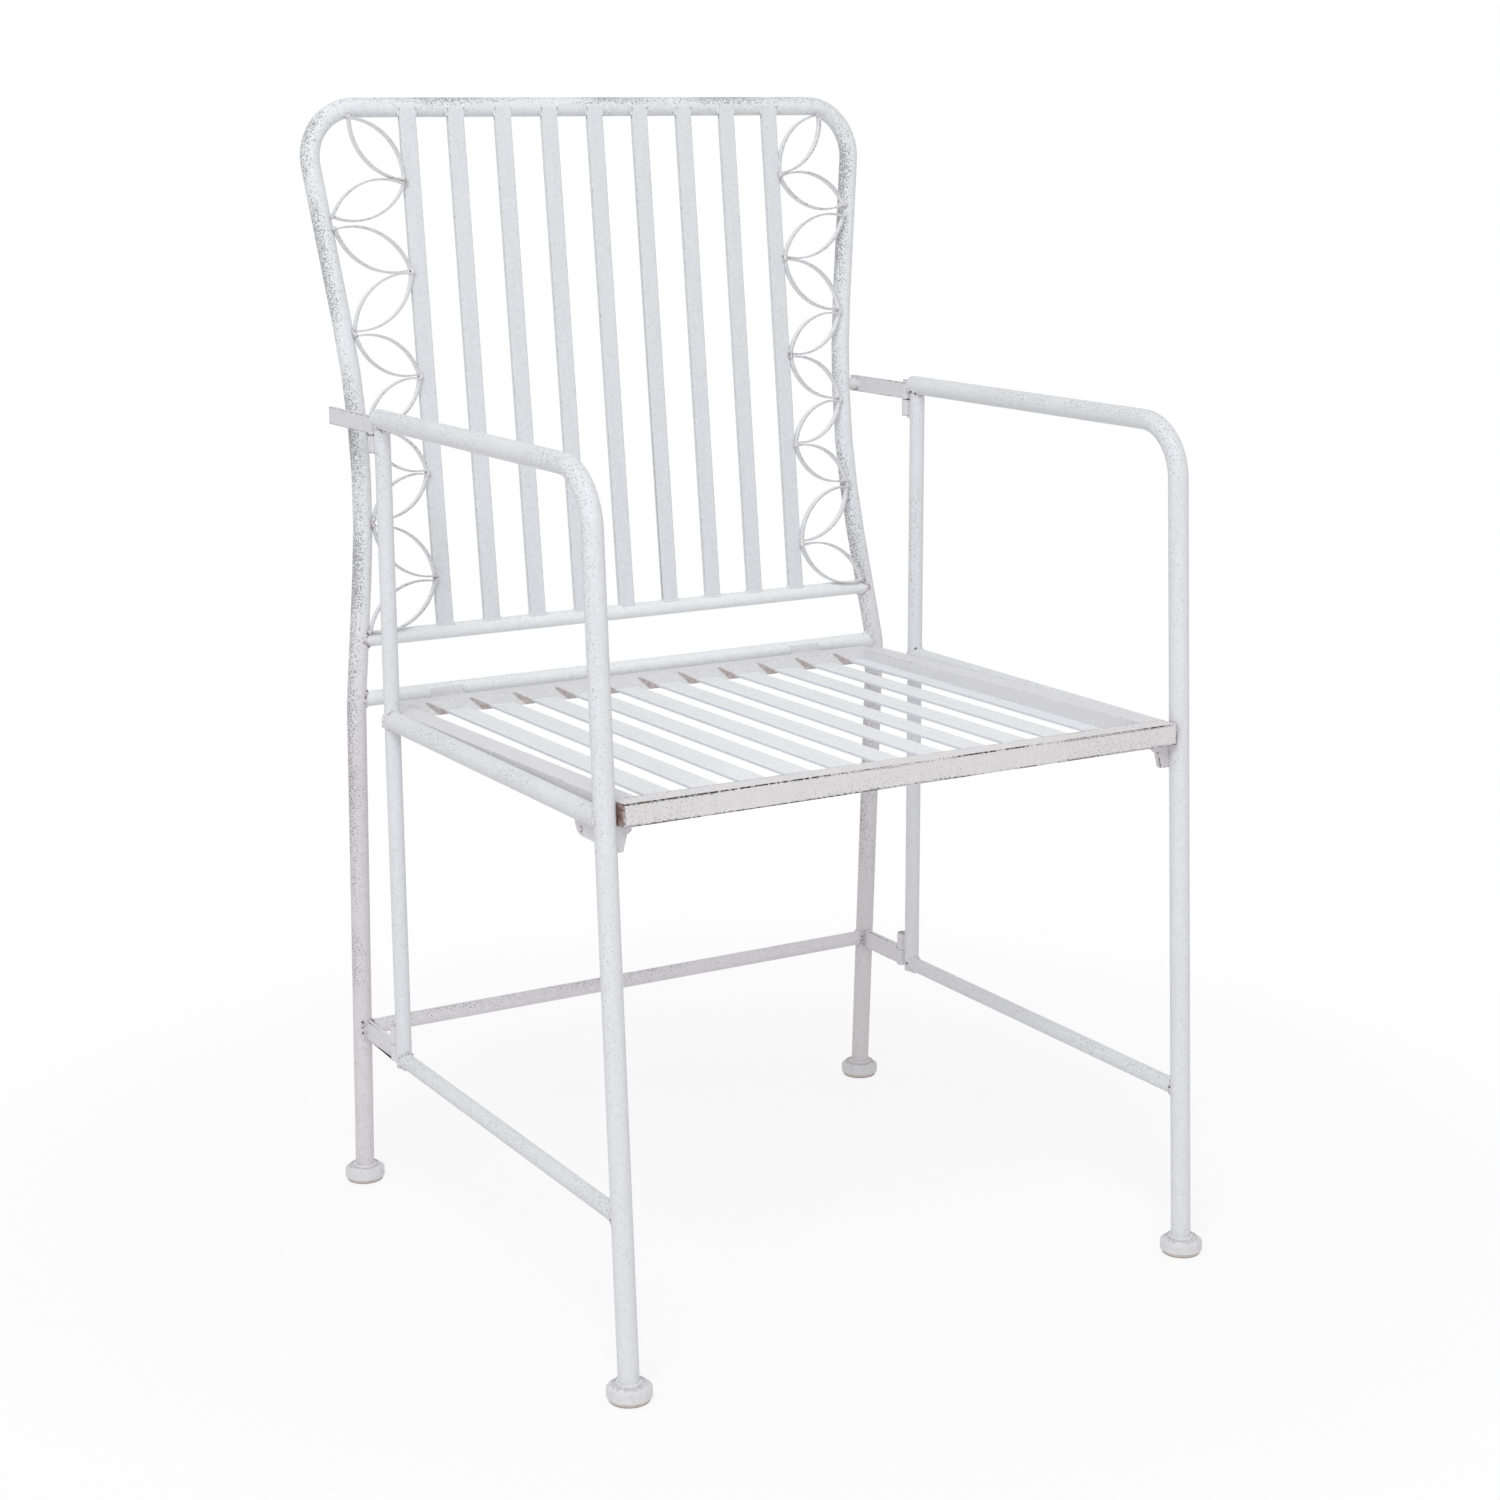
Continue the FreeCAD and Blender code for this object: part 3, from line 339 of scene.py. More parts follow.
# Back frame tube: one 16 mm steel tube bent cold into the two rear legs, the waist under the arms
# and the arch of the back. Its left side and its top are rubbed, and the specks are densest there.
TUBE_RADIUS = 0.008
LEG_END = 0.0054
KNEE_HEIGHT = 0.4320
BACK_FRAME = [(0.2582, 0.2331, LEG_END), (0.2582, 0.2114, KNEE_HEIGHT), (0.2302, 0.2357, 0.6400),
              (0.2655, 0.2679, 0.9170)]
BACK_FRAME_BENDS = [0.070, 0.820, 0.042]
RUBBED_SIDE = Vector((-0.65, 0.05, 0.76)).normalized()
# Painted shade and light: between these heights the tube's paint turns from darker and warmer down the legs
# to lighter and cooler up the arch.
SHADE_UP_TO, LIGHT_FROM = 0.36, 0.56
SHADED_LEG_PAINT = (0.735, 0.715, 0.725, 1.0)
LIT_ARCH_PAINT = (0.835, 0.85, 0.88, 1.0)


def split(tree, place):
    """The X, Y and Z of a place."""
    node = add_node(tree, "ShaderNodeSeparateXYZ")
    tree.links.new(place, node.inputs["Vector"])
    return node.outputs


tube_paint = painted("back_tube_paint", SHADED_LEG_PAINT, specks=1.6, chips=0.12)
tree = tube_paint.node_tree
# Painted shade low on the tube and painted light high on it, mixed by height.
shade_to_light = ramp(tree, split(tree, object_place(tree))["Z"], SHADE_UP_TO, LIGHT_FROM)
effects = next(node for node in tree.nodes if node.type == "GROUP")
tree.links.new(tint(tree, shade_to_light, SHADED_LEG_PAINT, LIT_ARCH_PAINT), effects.inputs["Paint"])


def wear(piece, level):
    """Write the value "rubbed" of each corner of a mesh, from a function of the corner."""
    rubbed = piece.data.attributes.new("rubbed", "FLOAT", "POINT")
    rubbed.data.foreach_set("value", [level(corner) for corner in piece.data.vertices])


TUBE_SIDES = 32
BEND_STEP = 5
FEWEST_STEPS = 5
RING_REACH = 0.00001
SMOOTH_ANGLE = math.radians(40)


def drawn_tube(name, corners, bends, radius, finish):
    """A round tube pushed along straight runs, each inner corner bent round its own radius."""
    corners = [Vector(corner) for corner in corners]
    ahead = (corners[1] - corners[0]).normalized()
    bpy.ops.object.select_all(action="DESELECT")
    bpy.ops.mesh.primitive_circle_add(vertices=TUBE_SIDES, radius=radius, location=corners[0],
                                      rotation=ahead.to_track_quat("Z", "Y").to_euler())
    tube = bpy.context.object
    tube.name = name
    bpy.ops.object.transform_apply(location=True, rotation=True, scale=True)
    bpy.ops.object.mode_set(mode="EDIT")
    reached = corners[0]
    for corner, after, bend in zip(corners[1:], corners[2:], bends):
        onward = (after - corner).normalized()
        turned = ahead.angle(onward)
        corner_reach = bend * math.tan(turned / 2)
        run = (corner - reached).length - corner_reach
        bpy.ops.mesh.extrude_edges_move(TRANSFORM_OT_translate={"value": ahead * run})
        inward = (onward - ahead * onward.dot(ahead)).normalized()
        centre = corner - ahead * corner_reach + inward * bend
        steps = max(FEWEST_STEPS, math.ceil(math.degrees(turned) / BEND_STEP))
        bpy.ops.mesh.spin(steps=steps, angle=turned, center=centre, axis=inward.cross(ahead))
        reached = corner + onward * corner_reach
        ahead = onward
    bpy.ops.mesh.extrude_edges_move(TRANSFORM_OT_translate={"value": corners[-1] - reached})
    bpy.ops.mesh.select_all(action="SELECT")
    bpy.ops.mesh.remove_doubles(threshold=RING_REACH)
    bpy.ops.mesh.fill_holes(sides=0)
    bpy.ops.mesh.normals_make_consistent(inside=False)
    bpy.ops.object.mode_set(mode="OBJECT")
    bpy.ops.object.shade_smooth_by_angle(angle=SMOOTH_ANGLE)
    wear(tube, lambda corner: max(0.0, corner.normal.dot(RUBBED_SIDE)))
    tube.data.materials.append(finish)
    return tube


def mirrored(point):
    """The same place on the other side of the chair."""
    return (-point[0], point[1], point[2])


back_tube = drawn_tube("back_frame_bent_tube", BACK_FRAME + [mirrored(p) for p in reversed(BACK_FRAME)],
                       BACK_FRAME_BENDS + BACK_FRAME_BENDS[::-1], TUBE_RADIUS, tube_paint)
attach(back_tube, "back_frame")
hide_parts("back_frame_tube")


# Cross rails of the back frame: three lengths of 13 mm tube, coped to the uprights and welded all round.
# The weld is laid as small overlapping beads, then covered by the paint.
THIN_RADIUS = 0.0065
CROSS_RAILS = {
    "back_lower_rail": (0.2512, 0.2160, 0.4842),
    "seat_crossbar": (0.2582, 0.2117, 0.4344),
    "rear_stretcher": (0.2582, 0.2262, 0.1407),
}
SEAM_PLACES = 18
SEAM_PITCH = 0.0012
TUBE_BEAD = 0.0019

# The cross rails' paint is lighter than the tubes': painted light that makes up for the shade on the
# crossbar under the seat.
lightened_rail_paint = painted("lightened_rail_paint", (0.895, 0.91, 0.93, 1.0), specks=0.25, chips=0.10)
stretcher_paint = painted("stretcher_paint", (0.80, 0.79, 0.80, 1.0), specks=0.9, chips=0.15)
weld_paint = painted("weld_paint", (0.76, 0.75, 0.76, 1.0), specks=0.7, chips=0.68)


def seam_round_tube(start, ahead, radius, side_point, side_axis, side_radius):
    """Places round a tube's end where it meets the side of another tube."""
    start, ahead, side_point, axis = (Vector(v) for v in (start, ahead, side_point, side_axis))
    ahead.normalize()
    axis.normalize()
    across = ahead.orthogonal().normalized()
    places = []
    for number in range(SEAM_PLACES):
        outward = Matrix.Rotation(2 * math.pi * number / SEAM_PLACES, 3, ahead) @ across
        line = start + outward * radius
        from_axis = (line - side_point) - axis * (line - side_point).dot(axis)
        step = ahead - axis * ahead.dot(axis)
        middle = -from_axis.dot(step) / step.length_squared
        spare = side_radius ** 2 - (from_axis + step * middle).length_squared
        travel = middle - math.sqrt(max(0.0, spare)) / step.length
        places.append(line + ahead * travel)
    return places


def seam_along(start, end):
    """Places in a straight row from one point to another."""
    start, end = Vector(start), Vector(end)
    count = max(2, round((end - start).length / SEAM_PITCH))
    return [start.lerp(end, number / count) for number in range(count + 1)]


BEAD_RIPPLE = 0.12
RIPPLE_TURN = 2.4
RIPPLE_SHIFT = 40.0
MELT_SHARE = 0.32


def weld(name, body, seams, bead, finish=weld_paint, worn=1.0):
    """Weld metal along seams, each a row of places: small balls melted into one and smoothed."""
    bpy.ops.object.select_all(action="DESELECT")
    bpy.ops.mesh.primitive_ico_sphere_add(subdivisions=2, radius=bead, location=seams[0][0])
    metal = bpy.context.object
    metal.name = name
    bpy.ops.object.transform_apply(location=True, rotation=True, scale=True)
    bpy.ops.object.mode_set(mode="EDIT")
    for seam in seams:
        for number, place in enumerate(seam):
            size = bead * (1.0 + BEAD_RIPPLE * math.sin(RIPPLE_TURN * number + RIPPLE_SHIFT * place.x))
            bpy.ops.mesh.primitive_ico_sphere_add(subdivisions=2, radius=size, location=place)
    bpy.ops.object.mode_set(mode="OBJECT")
    melt = metal.modifiers.new("melt", "REMESH")
    melt.mode = "VOXEL"
    melt.voxel_size = bead * MELT_SHARE
    flow = metal.modifiers.new("flow", "SMOOTH")
    flow.factor = 0.6
    flow.iterations = 4
    bpy.ops.object.modifier_apply(modifier="melt")
    bpy.ops.object.modifier_apply(modifier="flow")
    bpy.ops.object.shade_smooth()
    wear(metal, lambda corner: worn)
    metal.data.materials.append(finish)
    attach(metal, body)
    return metal


def along(a, b, height):
    """The point at a height on the line through two corners."""
    a, b = Vector(a), Vector(b)
    return a + (b - a) * ((height - a.z) / (b.z - a.z))


rail_seams = []
for name, (half, y, z) in CROSS_RAILS.items():
    rail = drawn_tube(name + "_tube", [(-half, y, z), (half, y, z)], [], THIN_RADIUS,
                      stretcher_paint if name == "rear_stretcher" else lightened_rail_paint)
    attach(rail, "back_frame")
    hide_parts(name)
    low, high = BACK_FRAME[0:2] if z < KNEE_HEIGHT else BACK_FRAME[1:3]
    upright = along(low, high, z)
    axis = Vector(high) - Vector(low)
    for side in (1, -1):
        turned = Vector((side, 1, 1))
        rail_seams.append(seam_round_tube((0, y, z), (side, 0, 0), THIN_RADIUS, upright * turned,
                                          axis * turned, TUBE_RADIUS))
weld("cross_rail_welds", "back_frame", rail_seams, TUBE_BEAD)


# Flat bars of the back: nine lengths of 15 x 3.5 mm bar, plain and straight. Each stands on the lower rail
# and leans forward a little; its top is pressed thin on the front of the arch, and welded at both edges.
RECLINE = math.radians(6.64)
KNEE = Vector((0.0, 0.21144, KNEE_HEIGHT))
BACK_RISE = Vector((0.0, math.sin(RECLINE), math.cos(RECLINE)))
BACK_FORWARD = Vector((0.0, -math.cos(RECLINE), math.sin(RECLINE)))
# A place in the back is given as its rise from the knee and its distance forward.
SLAT_COUNT = 9
SLAT_WIDTH = 0.015
SLAT_EDGE = 0.1815
SLAT_FOOT = (0.0556, 0.0015)
SLAT_TOP = (0.48728, 0.0077)
SLAT_PRESSED = 0.0036
PRESSED_FROM = 0.4775
END_REACH = 0.0012
# The weld runs down both edges at the top, and round both edges and the front at the foot.
TOP_WELD_RISE = 0.48828
TOP_WELD_DROPS = (0.0068, 0.0056, 0.0044, 0.0032)
TOP_WELD_LEAN = 0.10
TOP_WELD_SINK = 0.0006
FOOT_SIDE_RISE = 0.0030
FOOT_SIDE_PLACES = (0.0006, 0.0018, 0.0030)
FOOT_FRONT_PLACE = (0.0022, 0.0036)
FOOT_FRONT_MARGIN = 0.001
SLAT_BEAD = 0.0014

slat_paint = painted("slat_paint", (0.77, 0.785, 0.815, 1.0), specks=0.35, chips=0.45, grey_edges=0.14)


def in_back(x, rise, forward):
    """A place in the leaning plane of the back, from the knee of the uprights."""
    return KNEE + Vector((x, 0.0, 0.0)) + BACK_RISE * rise + BACK_FORWARD * forward


MERGE_REACH = 0.000001
FLAT_ANGLE = math.radians(0.5)
SHARP_ANGLE = math.radians(35)


def merged_copy(node, name):
    """A copy of a machined piece with its loose triangles joined, open for work in edit mode."""
    piece = bpy.data.objects.new(name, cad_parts[node].data.copy())
    bpy.context.collection.objects.link(piece)
    bpy.ops.object.select_all(action="DESELECT")
    piece.select_set(True)
    bpy.context.view_layer.objects.active = piece
    bpy.ops.mesh.customdata_custom_splitnormals_clear()
    bpy.ops.object.mode_set(mode="EDIT")
    bpy.ops.mesh.select_all(action="SELECT")
    bpy.ops.mesh.remove_doubles(threshold=MERGE_REACH)
    bpy.ops.mesh.dissolve_limited(angle_limit=FLAT_ANGLE)
    return piece


def softened(piece, edge, rim, finish):
    """Round over a piece's sharp edges and mark them as rubbed, down to clean paint at the rim's width."""
    bpy.ops.object.mode_set(mode="OBJECT")
    piece.data.materials.clear()
    piece.data.materials.append(finish)
    piece.data.materials.append(finish)
    for face in piece.data.polygons:
        face.material_index = 0
    bpy.ops.object.mode_set(mode="EDIT")
    bpy.ops.mesh.select_mode(type="EDGE")
    bpy.ops.mesh.select_all(action="DESELECT")
    bpy.ops.mesh.edges_select_sharp(sharpness=SHARP_ANGLE)
    bpy.ops.mesh.bevel(offset=edge, segments=2, affect="EDGES", clamp_overlap=True, material=1)
    bpy.ops.mesh.select_mode(type="FACE")
    bpy.ops.mesh.select_all(action="DESELECT")
    piece.active_material_index = 0
    bpy.ops.object.material_slot_select()
    if rim:
        bpy.ops.mesh.inset(thickness=rim, use_even_offset=False)
    bpy.ops.object.mode_set(mode="OBJECT")
    wear(piece, lambda corner: 0.0 if corner.select and rim else 1.0)
    for face in piece.data.polygons:
        face.material_index = 0
    piece.data.materials.pop()
    bpy.ops.object.shade_smooth_by_angle(angle=SMOOTH_ANGLE)
    return piece


slat_seams = []
for number in range(SLAT_COUNT):
    slat = merged_copy(f"back_slat_{number + 1}", f"back_flat_bar_{number + 1}")
    bpy.ops.mesh.bisect(plane_co=in_back(0.0, PRESSED_FROM, 0.0), plane_no=BACK_RISE)
    bpy.ops.object.mode_set(mode="OBJECT")
    for corner in slat.data.vertices:
        corner.select = abs((corner.co - KNEE).dot(BACK_RISE) - SLAT_TOP[0]) < END_REACH
    bpy.ops.object.mode_set(mode="EDIT")
    bpy.ops.mesh.select_mode(type="VERT")
    bpy.ops.transform.translate(value=BACK_FORWARD * -SLAT_PRESSED)
    slat = softened(slat, edge=0.0004, rim=0.0009, finish=slat_paint)
    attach(slat, "back_frame")
    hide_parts(f"back_slat_{number + 1}")
    left = -SLAT_EDGE + (2 * SLAT_EDGE - SLAT_WIDTH) * number / (SLAT_COUNT - 1)
    right = left + SLAT_WIDTH
    for edge in (left, right):
        slat_seams.append([
            in_back(edge, TOP_WELD_RISE - drop, SLAT_TOP[1] - TOP_WELD_SINK - drop * TOP_WELD_LEAN)
            for drop in TOP_WELD_DROPS])
        slat_seams.append([in_back(edge, SLAT_FOOT[0] + FOOT_SIDE_RISE, SLAT_FOOT[1] + forward)
                           for forward in FOOT_SIDE_PLACES])
    slat_seams.append(seam_along(
        *(in_back(x, SLAT_FOOT[0] + FOOT_FRONT_PLACE[0], SLAT_FOOT[1] + FOOT_FRONT_PLACE[1])
          for x in (left + FOOT_FRONT_MARGIN, right - FOOT_FRONT_MARGIN))))
weld("flat_bar_welds", "back_frame", slat_seams, SLAT_BEAD, slat_paint, worn=0.0)


# Leaves of the back: thin strip bent to two arcs that meet in a point at each end, ten down each side.
# The points are tacked to the outer flat bar, to the tube and to each other, and the strip's edges
# are rubbed grey.
# A leaf is given as the X and the rise of its tip by the tube, and the rise of its tip by the bar.
LEAF_AT_BAR = 0.1807
LEAF_TIPS = [(0.2270, 0.4803, 0.4279), (0.2482, 0.3997, 0.4259),
             (0.2470, 0.3902, 0.3549), (0.2364, 0.3061, 0.3529),
             (0.2360, 0.3030, 0.2683), (0.2311, 0.2265, 0.2663),
             (0.2311, 0.2245, 0.1883), (0.2333, 0.1510, 0.1862),
             (0.2336, 0.1465, 0.0991), (0.2443, 0.0584, 0.0961)]
LEAF_FACES = (0.0040, 0.0100)
LEAF_RIM = 0.0009
LEAF_SKIN = 0.0005
TACK_PLACES = (0.0050, 0.0065, 0.0080, 0.0092)
TACK_BEAD = 0.0021

# The leaves' paint is lighter than the tubes': painted light that makes up for the shade on the strips'
# sides, seen at a slant.
leaf_paint = painted("leaf_paint", (0.92, 0.925, 0.945, 1.0), specks=0.6, chips=0.25, grey_edges=0.34)


def leaf_wear(corner):
    """Full wear on the strip's two edges, and little on its broad sides."""
    forward = (corner.co - KNEE).dot(BACK_FORWARD)
    return 0.2 if LEAF_FACES[0] + LEAF_SKIN < forward < LEAF_FACES[1] - LEAF_SKIN else 1.0


for side, sign in (("left", 1), ("right", -1)):
    panel = merged_copy(f"leaves_{side}", f"bent_leaves_{side}")
    for forward in (LEAF_FACES[0] + LEAF_RIM, LEAF_FACES[1] - LEAF_RIM):
        bpy.ops.mesh.select_all(action="SELECT")
        bpy.ops.mesh.bisect(plane_co=in_back(0.0, 0.0, forward), plane_no=BACK_FORWARD)
    bpy.ops.mesh.select_all(action="DESELECT")
    bpy.ops.object.mode_set(mode="OBJECT")
    bpy.ops.object.shade_smooth_by_angle(angle=SMOOTH_ANGLE)
    wear(panel, leaf_wear)
    panel.data.materials.clear()
    panel.data.materials.append(leaf_paint)
    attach(panel, "back_frame")
    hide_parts(f"leaves_{side}")
    tacks = []
    for at_tube, rise_at_tube, rise_at_bar in LEAF_TIPS:
        for x, rise in ((at_tube, rise_at_tube), (LEAF_AT_BAR, rise_at_bar)):
            tacks.append([in_back(sign * x, rise, forward) for forward in TACK_PLACES])
    weld(f"leaf_tacks_{side}", "back_frame", tacks, TACK_BEAD)


# Side frames: each a 16 mm tube bent once into front leg and armrest, closed at the arm's rear end.
# A thin rear post, a seat rail and a lower rail are welded in, and the whole frame swings at its hinges.
HALF_SPACING = 0.256
ARM_HEIGHT = 0.675
FRONT_FOOT = -0.2589
LEG_SLOPE = math.tan(math.radians(3.15))
POST_PLACE = 0.14075
POST_BASE = 0.1315
BELOW_ARM = 0.5
ARM_BEND = 0.045
ARM_END = 0.14725
FRAME_RAILS = {"seat_rail": (0.430, TUBE_RADIUS), "lower_rail": (0.138, THIN_RADIUS)}

side_tube_paint = painted("side_tube_paint", (0.79, 0.80, 0.83, 1.0), specks=0.5, chips=0.12)

for side, sign in (("left", 1), ("right", -1)):
    body = side + "_frame"
    x = sign * HALF_SPACING
    bent = drawn_tube(f"arm_and_leg_tube_{side}",
                      [(x, FRONT_FOOT + LEG_END * LEG_SLOPE, LEG_END),
                       (x, FRONT_FOOT + ARM_HEIGHT * LEG_SLOPE, ARM_HEIGHT),
                       (x, ARM_END, ARM_HEIGHT)], [ARM_BEND], TUBE_RADIUS, side_tube_paint)
    post = drawn_tube(f"rear_post_tube_{side}", [(x, POST_PLACE, POST_BASE), (x, POST_PLACE, ARM_HEIGHT)],
                      [], THIN_RADIUS, side_tube_paint)
    pieces = {bent: f"arm_and_leg_{side}", post: f"rear_post_{side}"}
    leg_axis = Vector((0.0, LEG_SLOPE, 1.0))
    seams = [seam_round_tube((x, POST_PLACE, BELOW_ARM), (0, 0, 1), THIN_RADIUS,
                             (x, POST_PLACE, ARM_HEIGHT), (0, 1, 0), TUBE_RADIUS)]
    for name, (height, radius) in FRAME_RAILS.items():
        leg_place = (x, FRONT_FOOT + height * LEG_SLOPE, height)
        rail = drawn_tube(f"{name}_tube_{side}", [leg_place, (x, POST_PLACE, height)], [], radius,
                          side_tube_paint)
        pieces[rail] = f"{name}_{side}"
        seams.append(seam_round_tube((x, 0.0, height), (0, -1, 0), radius,
                                     leg_place, leg_axis, TUBE_RADIUS))
        seams.append(seam_round_tube((x, 0.0, height), (0, 1, 0), radius,
                                     (x, POST_PLACE, height), (0, 0, 1), THIN_RADIUS))
    for piece, node in pieces.items():
        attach(piece, body)
        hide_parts(node)
    weld(f"side_frame_welds_{side}", body, seams, TUBE_BEAD)


# Hinges: flat bars welded to the rear uprights end in eyes, barrels stand on the rear posts,
# and a pin joins each pair. The cut edges of the bars are rubbed to dark steel.
HALF_BAR = 0.002
PLATE_BEAD = 0.0013
POST_WELD_SINK = 0.0002
LEG_WELD_PROUD = 0.0003
SEAM_MARGIN = 0.001
GUSSET_FOOT_MARGIN = 0.002

hinge_paint = painted("hinge_paint", (0.76, 0.755, 0.765, 1.0), specks=0.8, chips=0.90)

for side, sign in (("left", 1), ("right", -1)):
    for node, body in ((f"upper_hinge_bar_{side}", "back_frame"), (f"lower_hinge_bar_{side}", "back_frame"),
                       (f"hinge_stub_{side}", "back_frame"), (f"upper_barrel_{side}", f"{side}_frame"),
                       (f"lower_barrel_{side}", f"{side}_frame"), (f"upper_gusset_{side}", f"{side}_frame"),
                       (f"lower_gusset_{side}", f"{side}_frame")):
        piece = softened(merged_copy(node, node + "_painted"), edge=0.0004, rim=0.0010, finish=hinge_paint)
        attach(piece, body)
        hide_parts(node)

    post_side = POST_PLACE + THIN_RADIUS - POST_WELD_SINK
    gusset_seams = []
    for node in (f"upper_gusset_{side}", f"lower_gusset_{side}"):
        low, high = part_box(node)
        for x in (low[0], high[0]):
            gusset_seams.append(seam_along((x, post_side, low[2] + GUSSET_FOOT_MARGIN),
                                           (x, post_side, high[2] - SEAM_MARGIN)))
    weld(f"gusset_welds_{side}", f"{side}_frame", gusset_seams, PLATE_BEAD)

    low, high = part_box(f"hinge_stub_{side}")
    middle = [(low[axis] + high[axis]) / 2 for axis in range(3)]
    stub_radius = (high[2] - low[2]) / 2
    upright = along(BACK_FRAME[2], BACK_FRAME[3], middle[2]) * Vector((sign, 1, 1))
    rising = (Vector(BACK_FRAME[3]) - Vector(BACK_FRAME[2])) * Vector((sign, 1, 1))
    bar_low, bar_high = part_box(f"lower_hinge_bar_{side}")
    leg_middle = along(BACK_FRAME[0], BACK_FRAME[1], (bar_low[2] + bar_high[2]) / 2)
    leg_front = leg_middle.y - TUBE_RADIUS + LEG_WELD_PROUD
    bar_face = sign * HALF_SPACING - sign * HALF_BAR
    bar_seams = [seam_round_tube(middle, (-sign, 0, 0), stub_radius, upright, rising, TUBE_RADIUS),
                 [Vector((bar_face, middle[1] + stub_radius * math.cos(turn),
                          middle[2] + stub_radius * math.sin(turn)))
                  for turn in (2 * math.pi * share / SEAM_PLACES for share in range(SEAM_PLACES))]]
    for x in (bar_low[0], bar_high[0]):
        bar_seams.append(seam_along((x, leg_front, bar_low[2] + SEAM_MARGIN),
                                    (x, leg_front, bar_high[2] - SEAM_MARGIN)))
    weld(f"hinge_bar_welds_{side}", "back_frame", bar_seams, PLATE_BEAD)
for node in ("upper_hinge_pins", "lower_hinge_pins"):
    piece = softened(merged_copy(node, node + "_painted"), edge=0.0005, rim=0.0006, finish=hinge_paint)
    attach(piece, "back_frame")
    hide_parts(node)


# Seat: a rim of rectangular tube with twelve slats let in below its top.
# Chips run along the edges of the front bar and along the inner edge of the side bars,
# and the sawn ends of the front bar have rusted.
BAR_END = 0.245
END_FACING, FRONT_FACING, SLOT_FACING = 0.95, 0.9, 0.80
PALE_RUST = (0.50, 0.38, 0.34, 1.0)
DARK_RUST = (0.13, 0.06, 0.04, 1.0)
RUST_ROUGHNESS = 0.85
PIT_DEPTH = 0.0004

rim_paint = painted("rim_paint", (0.775, 0.765, 0.765, 1.0), specks=1.6, chips=1.08)
rim_side_paint = painted("rim_side_paint", (0.765, 0.765, 0.785, 1.0), specks=0.30, chips=0.55)
seat_slat_paint = painted("seat_slat_paint", (0.885, 0.90, 0.93, 1.0), specks=0.18, chips=0.22,
                          grey_edges=0.08)
# The side walls of the slots get a darker, bluer paint: painted shade in the slots between the seat slats.
slot_wall_shade_paint = painted("slot_wall_shade_paint", (0.72, 0.745, 0.80, 1.0), specks=0.20, chips=0.25,
                          grey_edges=0.10)
rear_wall_paint = painted("rear_wall_paint", (0.80, 0.80, 0.815, 1.0), specks=0.30, chips=0.30)

rusted = bpy.data.materials.new("rusted_end")
rusted.use_nodes = True
tree = rusted.node_tree
coat = tree.nodes["Principled BSDF"]
rust_noise = noise(tree, object_place(tree), 190.0, detail=5.0, roughness=0.65)
mottling = ramp(tree, rust_noise, 0.36, 0.66)
tree.links.new(tint(tree, mottling, PALE_RUST, DARK_RUST), coat.inputs["Base Color"])
tree.links.new(bumps(tree, mottling, PIT_DEPTH), coat.inputs["Normal"])
coat.inputs["Roughness"].default_value = RUST_ROUGHNESS

# Behind each slot a slanting band on the front of the rear bar is painted brown: partly primer showing where
# the brush missed, partly painted shade on the wall below the slats.
# Each edge of the band falls across the slot: its slope times the way across, plus Z, is the same all along.
SLOT_FIELD = 0.20975
SLOT_PITCH = 0.0402
UPPER_SLOPE, UPPER_LINE = 0.522, (0.4327, 0.4345)
LOWER_SLOPE, LOWER_LINE = 0.900, (0.4305, 0.4325)
PALE_PRIMER_AND_SHADE = (0.52, 0.475, 0.465, 1.0)
BROWN_PRIMER_AND_SHADE = (0.37, 0.31, 0.285, 1.0)

tree = rear_wall_paint.node_tree
coat = tree.nodes["Principled BSDF"]
place = object_place(tree)
at = split(tree, place)
slots_over = sums(tree, "DIVIDE", sums(tree, "ADD", at["X"], SLOT_FIELD), SLOT_PITCH)
into_slot = sums(tree, "MULTIPLY", sums(tree, "FRACT", slots_over), SLOT_PITCH)
over_upper, over_lower = (sums(tree, "ADD", sums(tree, "MULTIPLY", into_slot, slope), at["Z"])
                          for slope in (UPPER_SLOPE, LOWER_SLOPE))
missed_and_shaded = sums(tree, "MULTIPLY", ramp(tree, over_upper, *UPPER_LINE, 1.0, 0.0),
              ramp(tree, over_lower, *LOWER_LINE))
spots = ramp(tree, noise(tree, place, 240.0, detail=4.0, roughness=0.6), 0.38, 0.64)
primer_and_shade = tint(tree, spots, PALE_PRIMER_AND_SHADE, BROWN_PRIMER_AND_SHADE)
painted_colour = coat.inputs["Base Color"].links[0].from_socket
tree.links.new(tint(tree, missed_and_shaded, painted_colour, primer_and_shade), coat.inputs["Base Color"])


def second_finish(piece, finish, chosen):
    """Give a second finish to the faces that a test picks."""
    piece.data.materials.append(finish)
    for face in piece.data.polygons:
        if chosen(face):
            face.material_index = 1


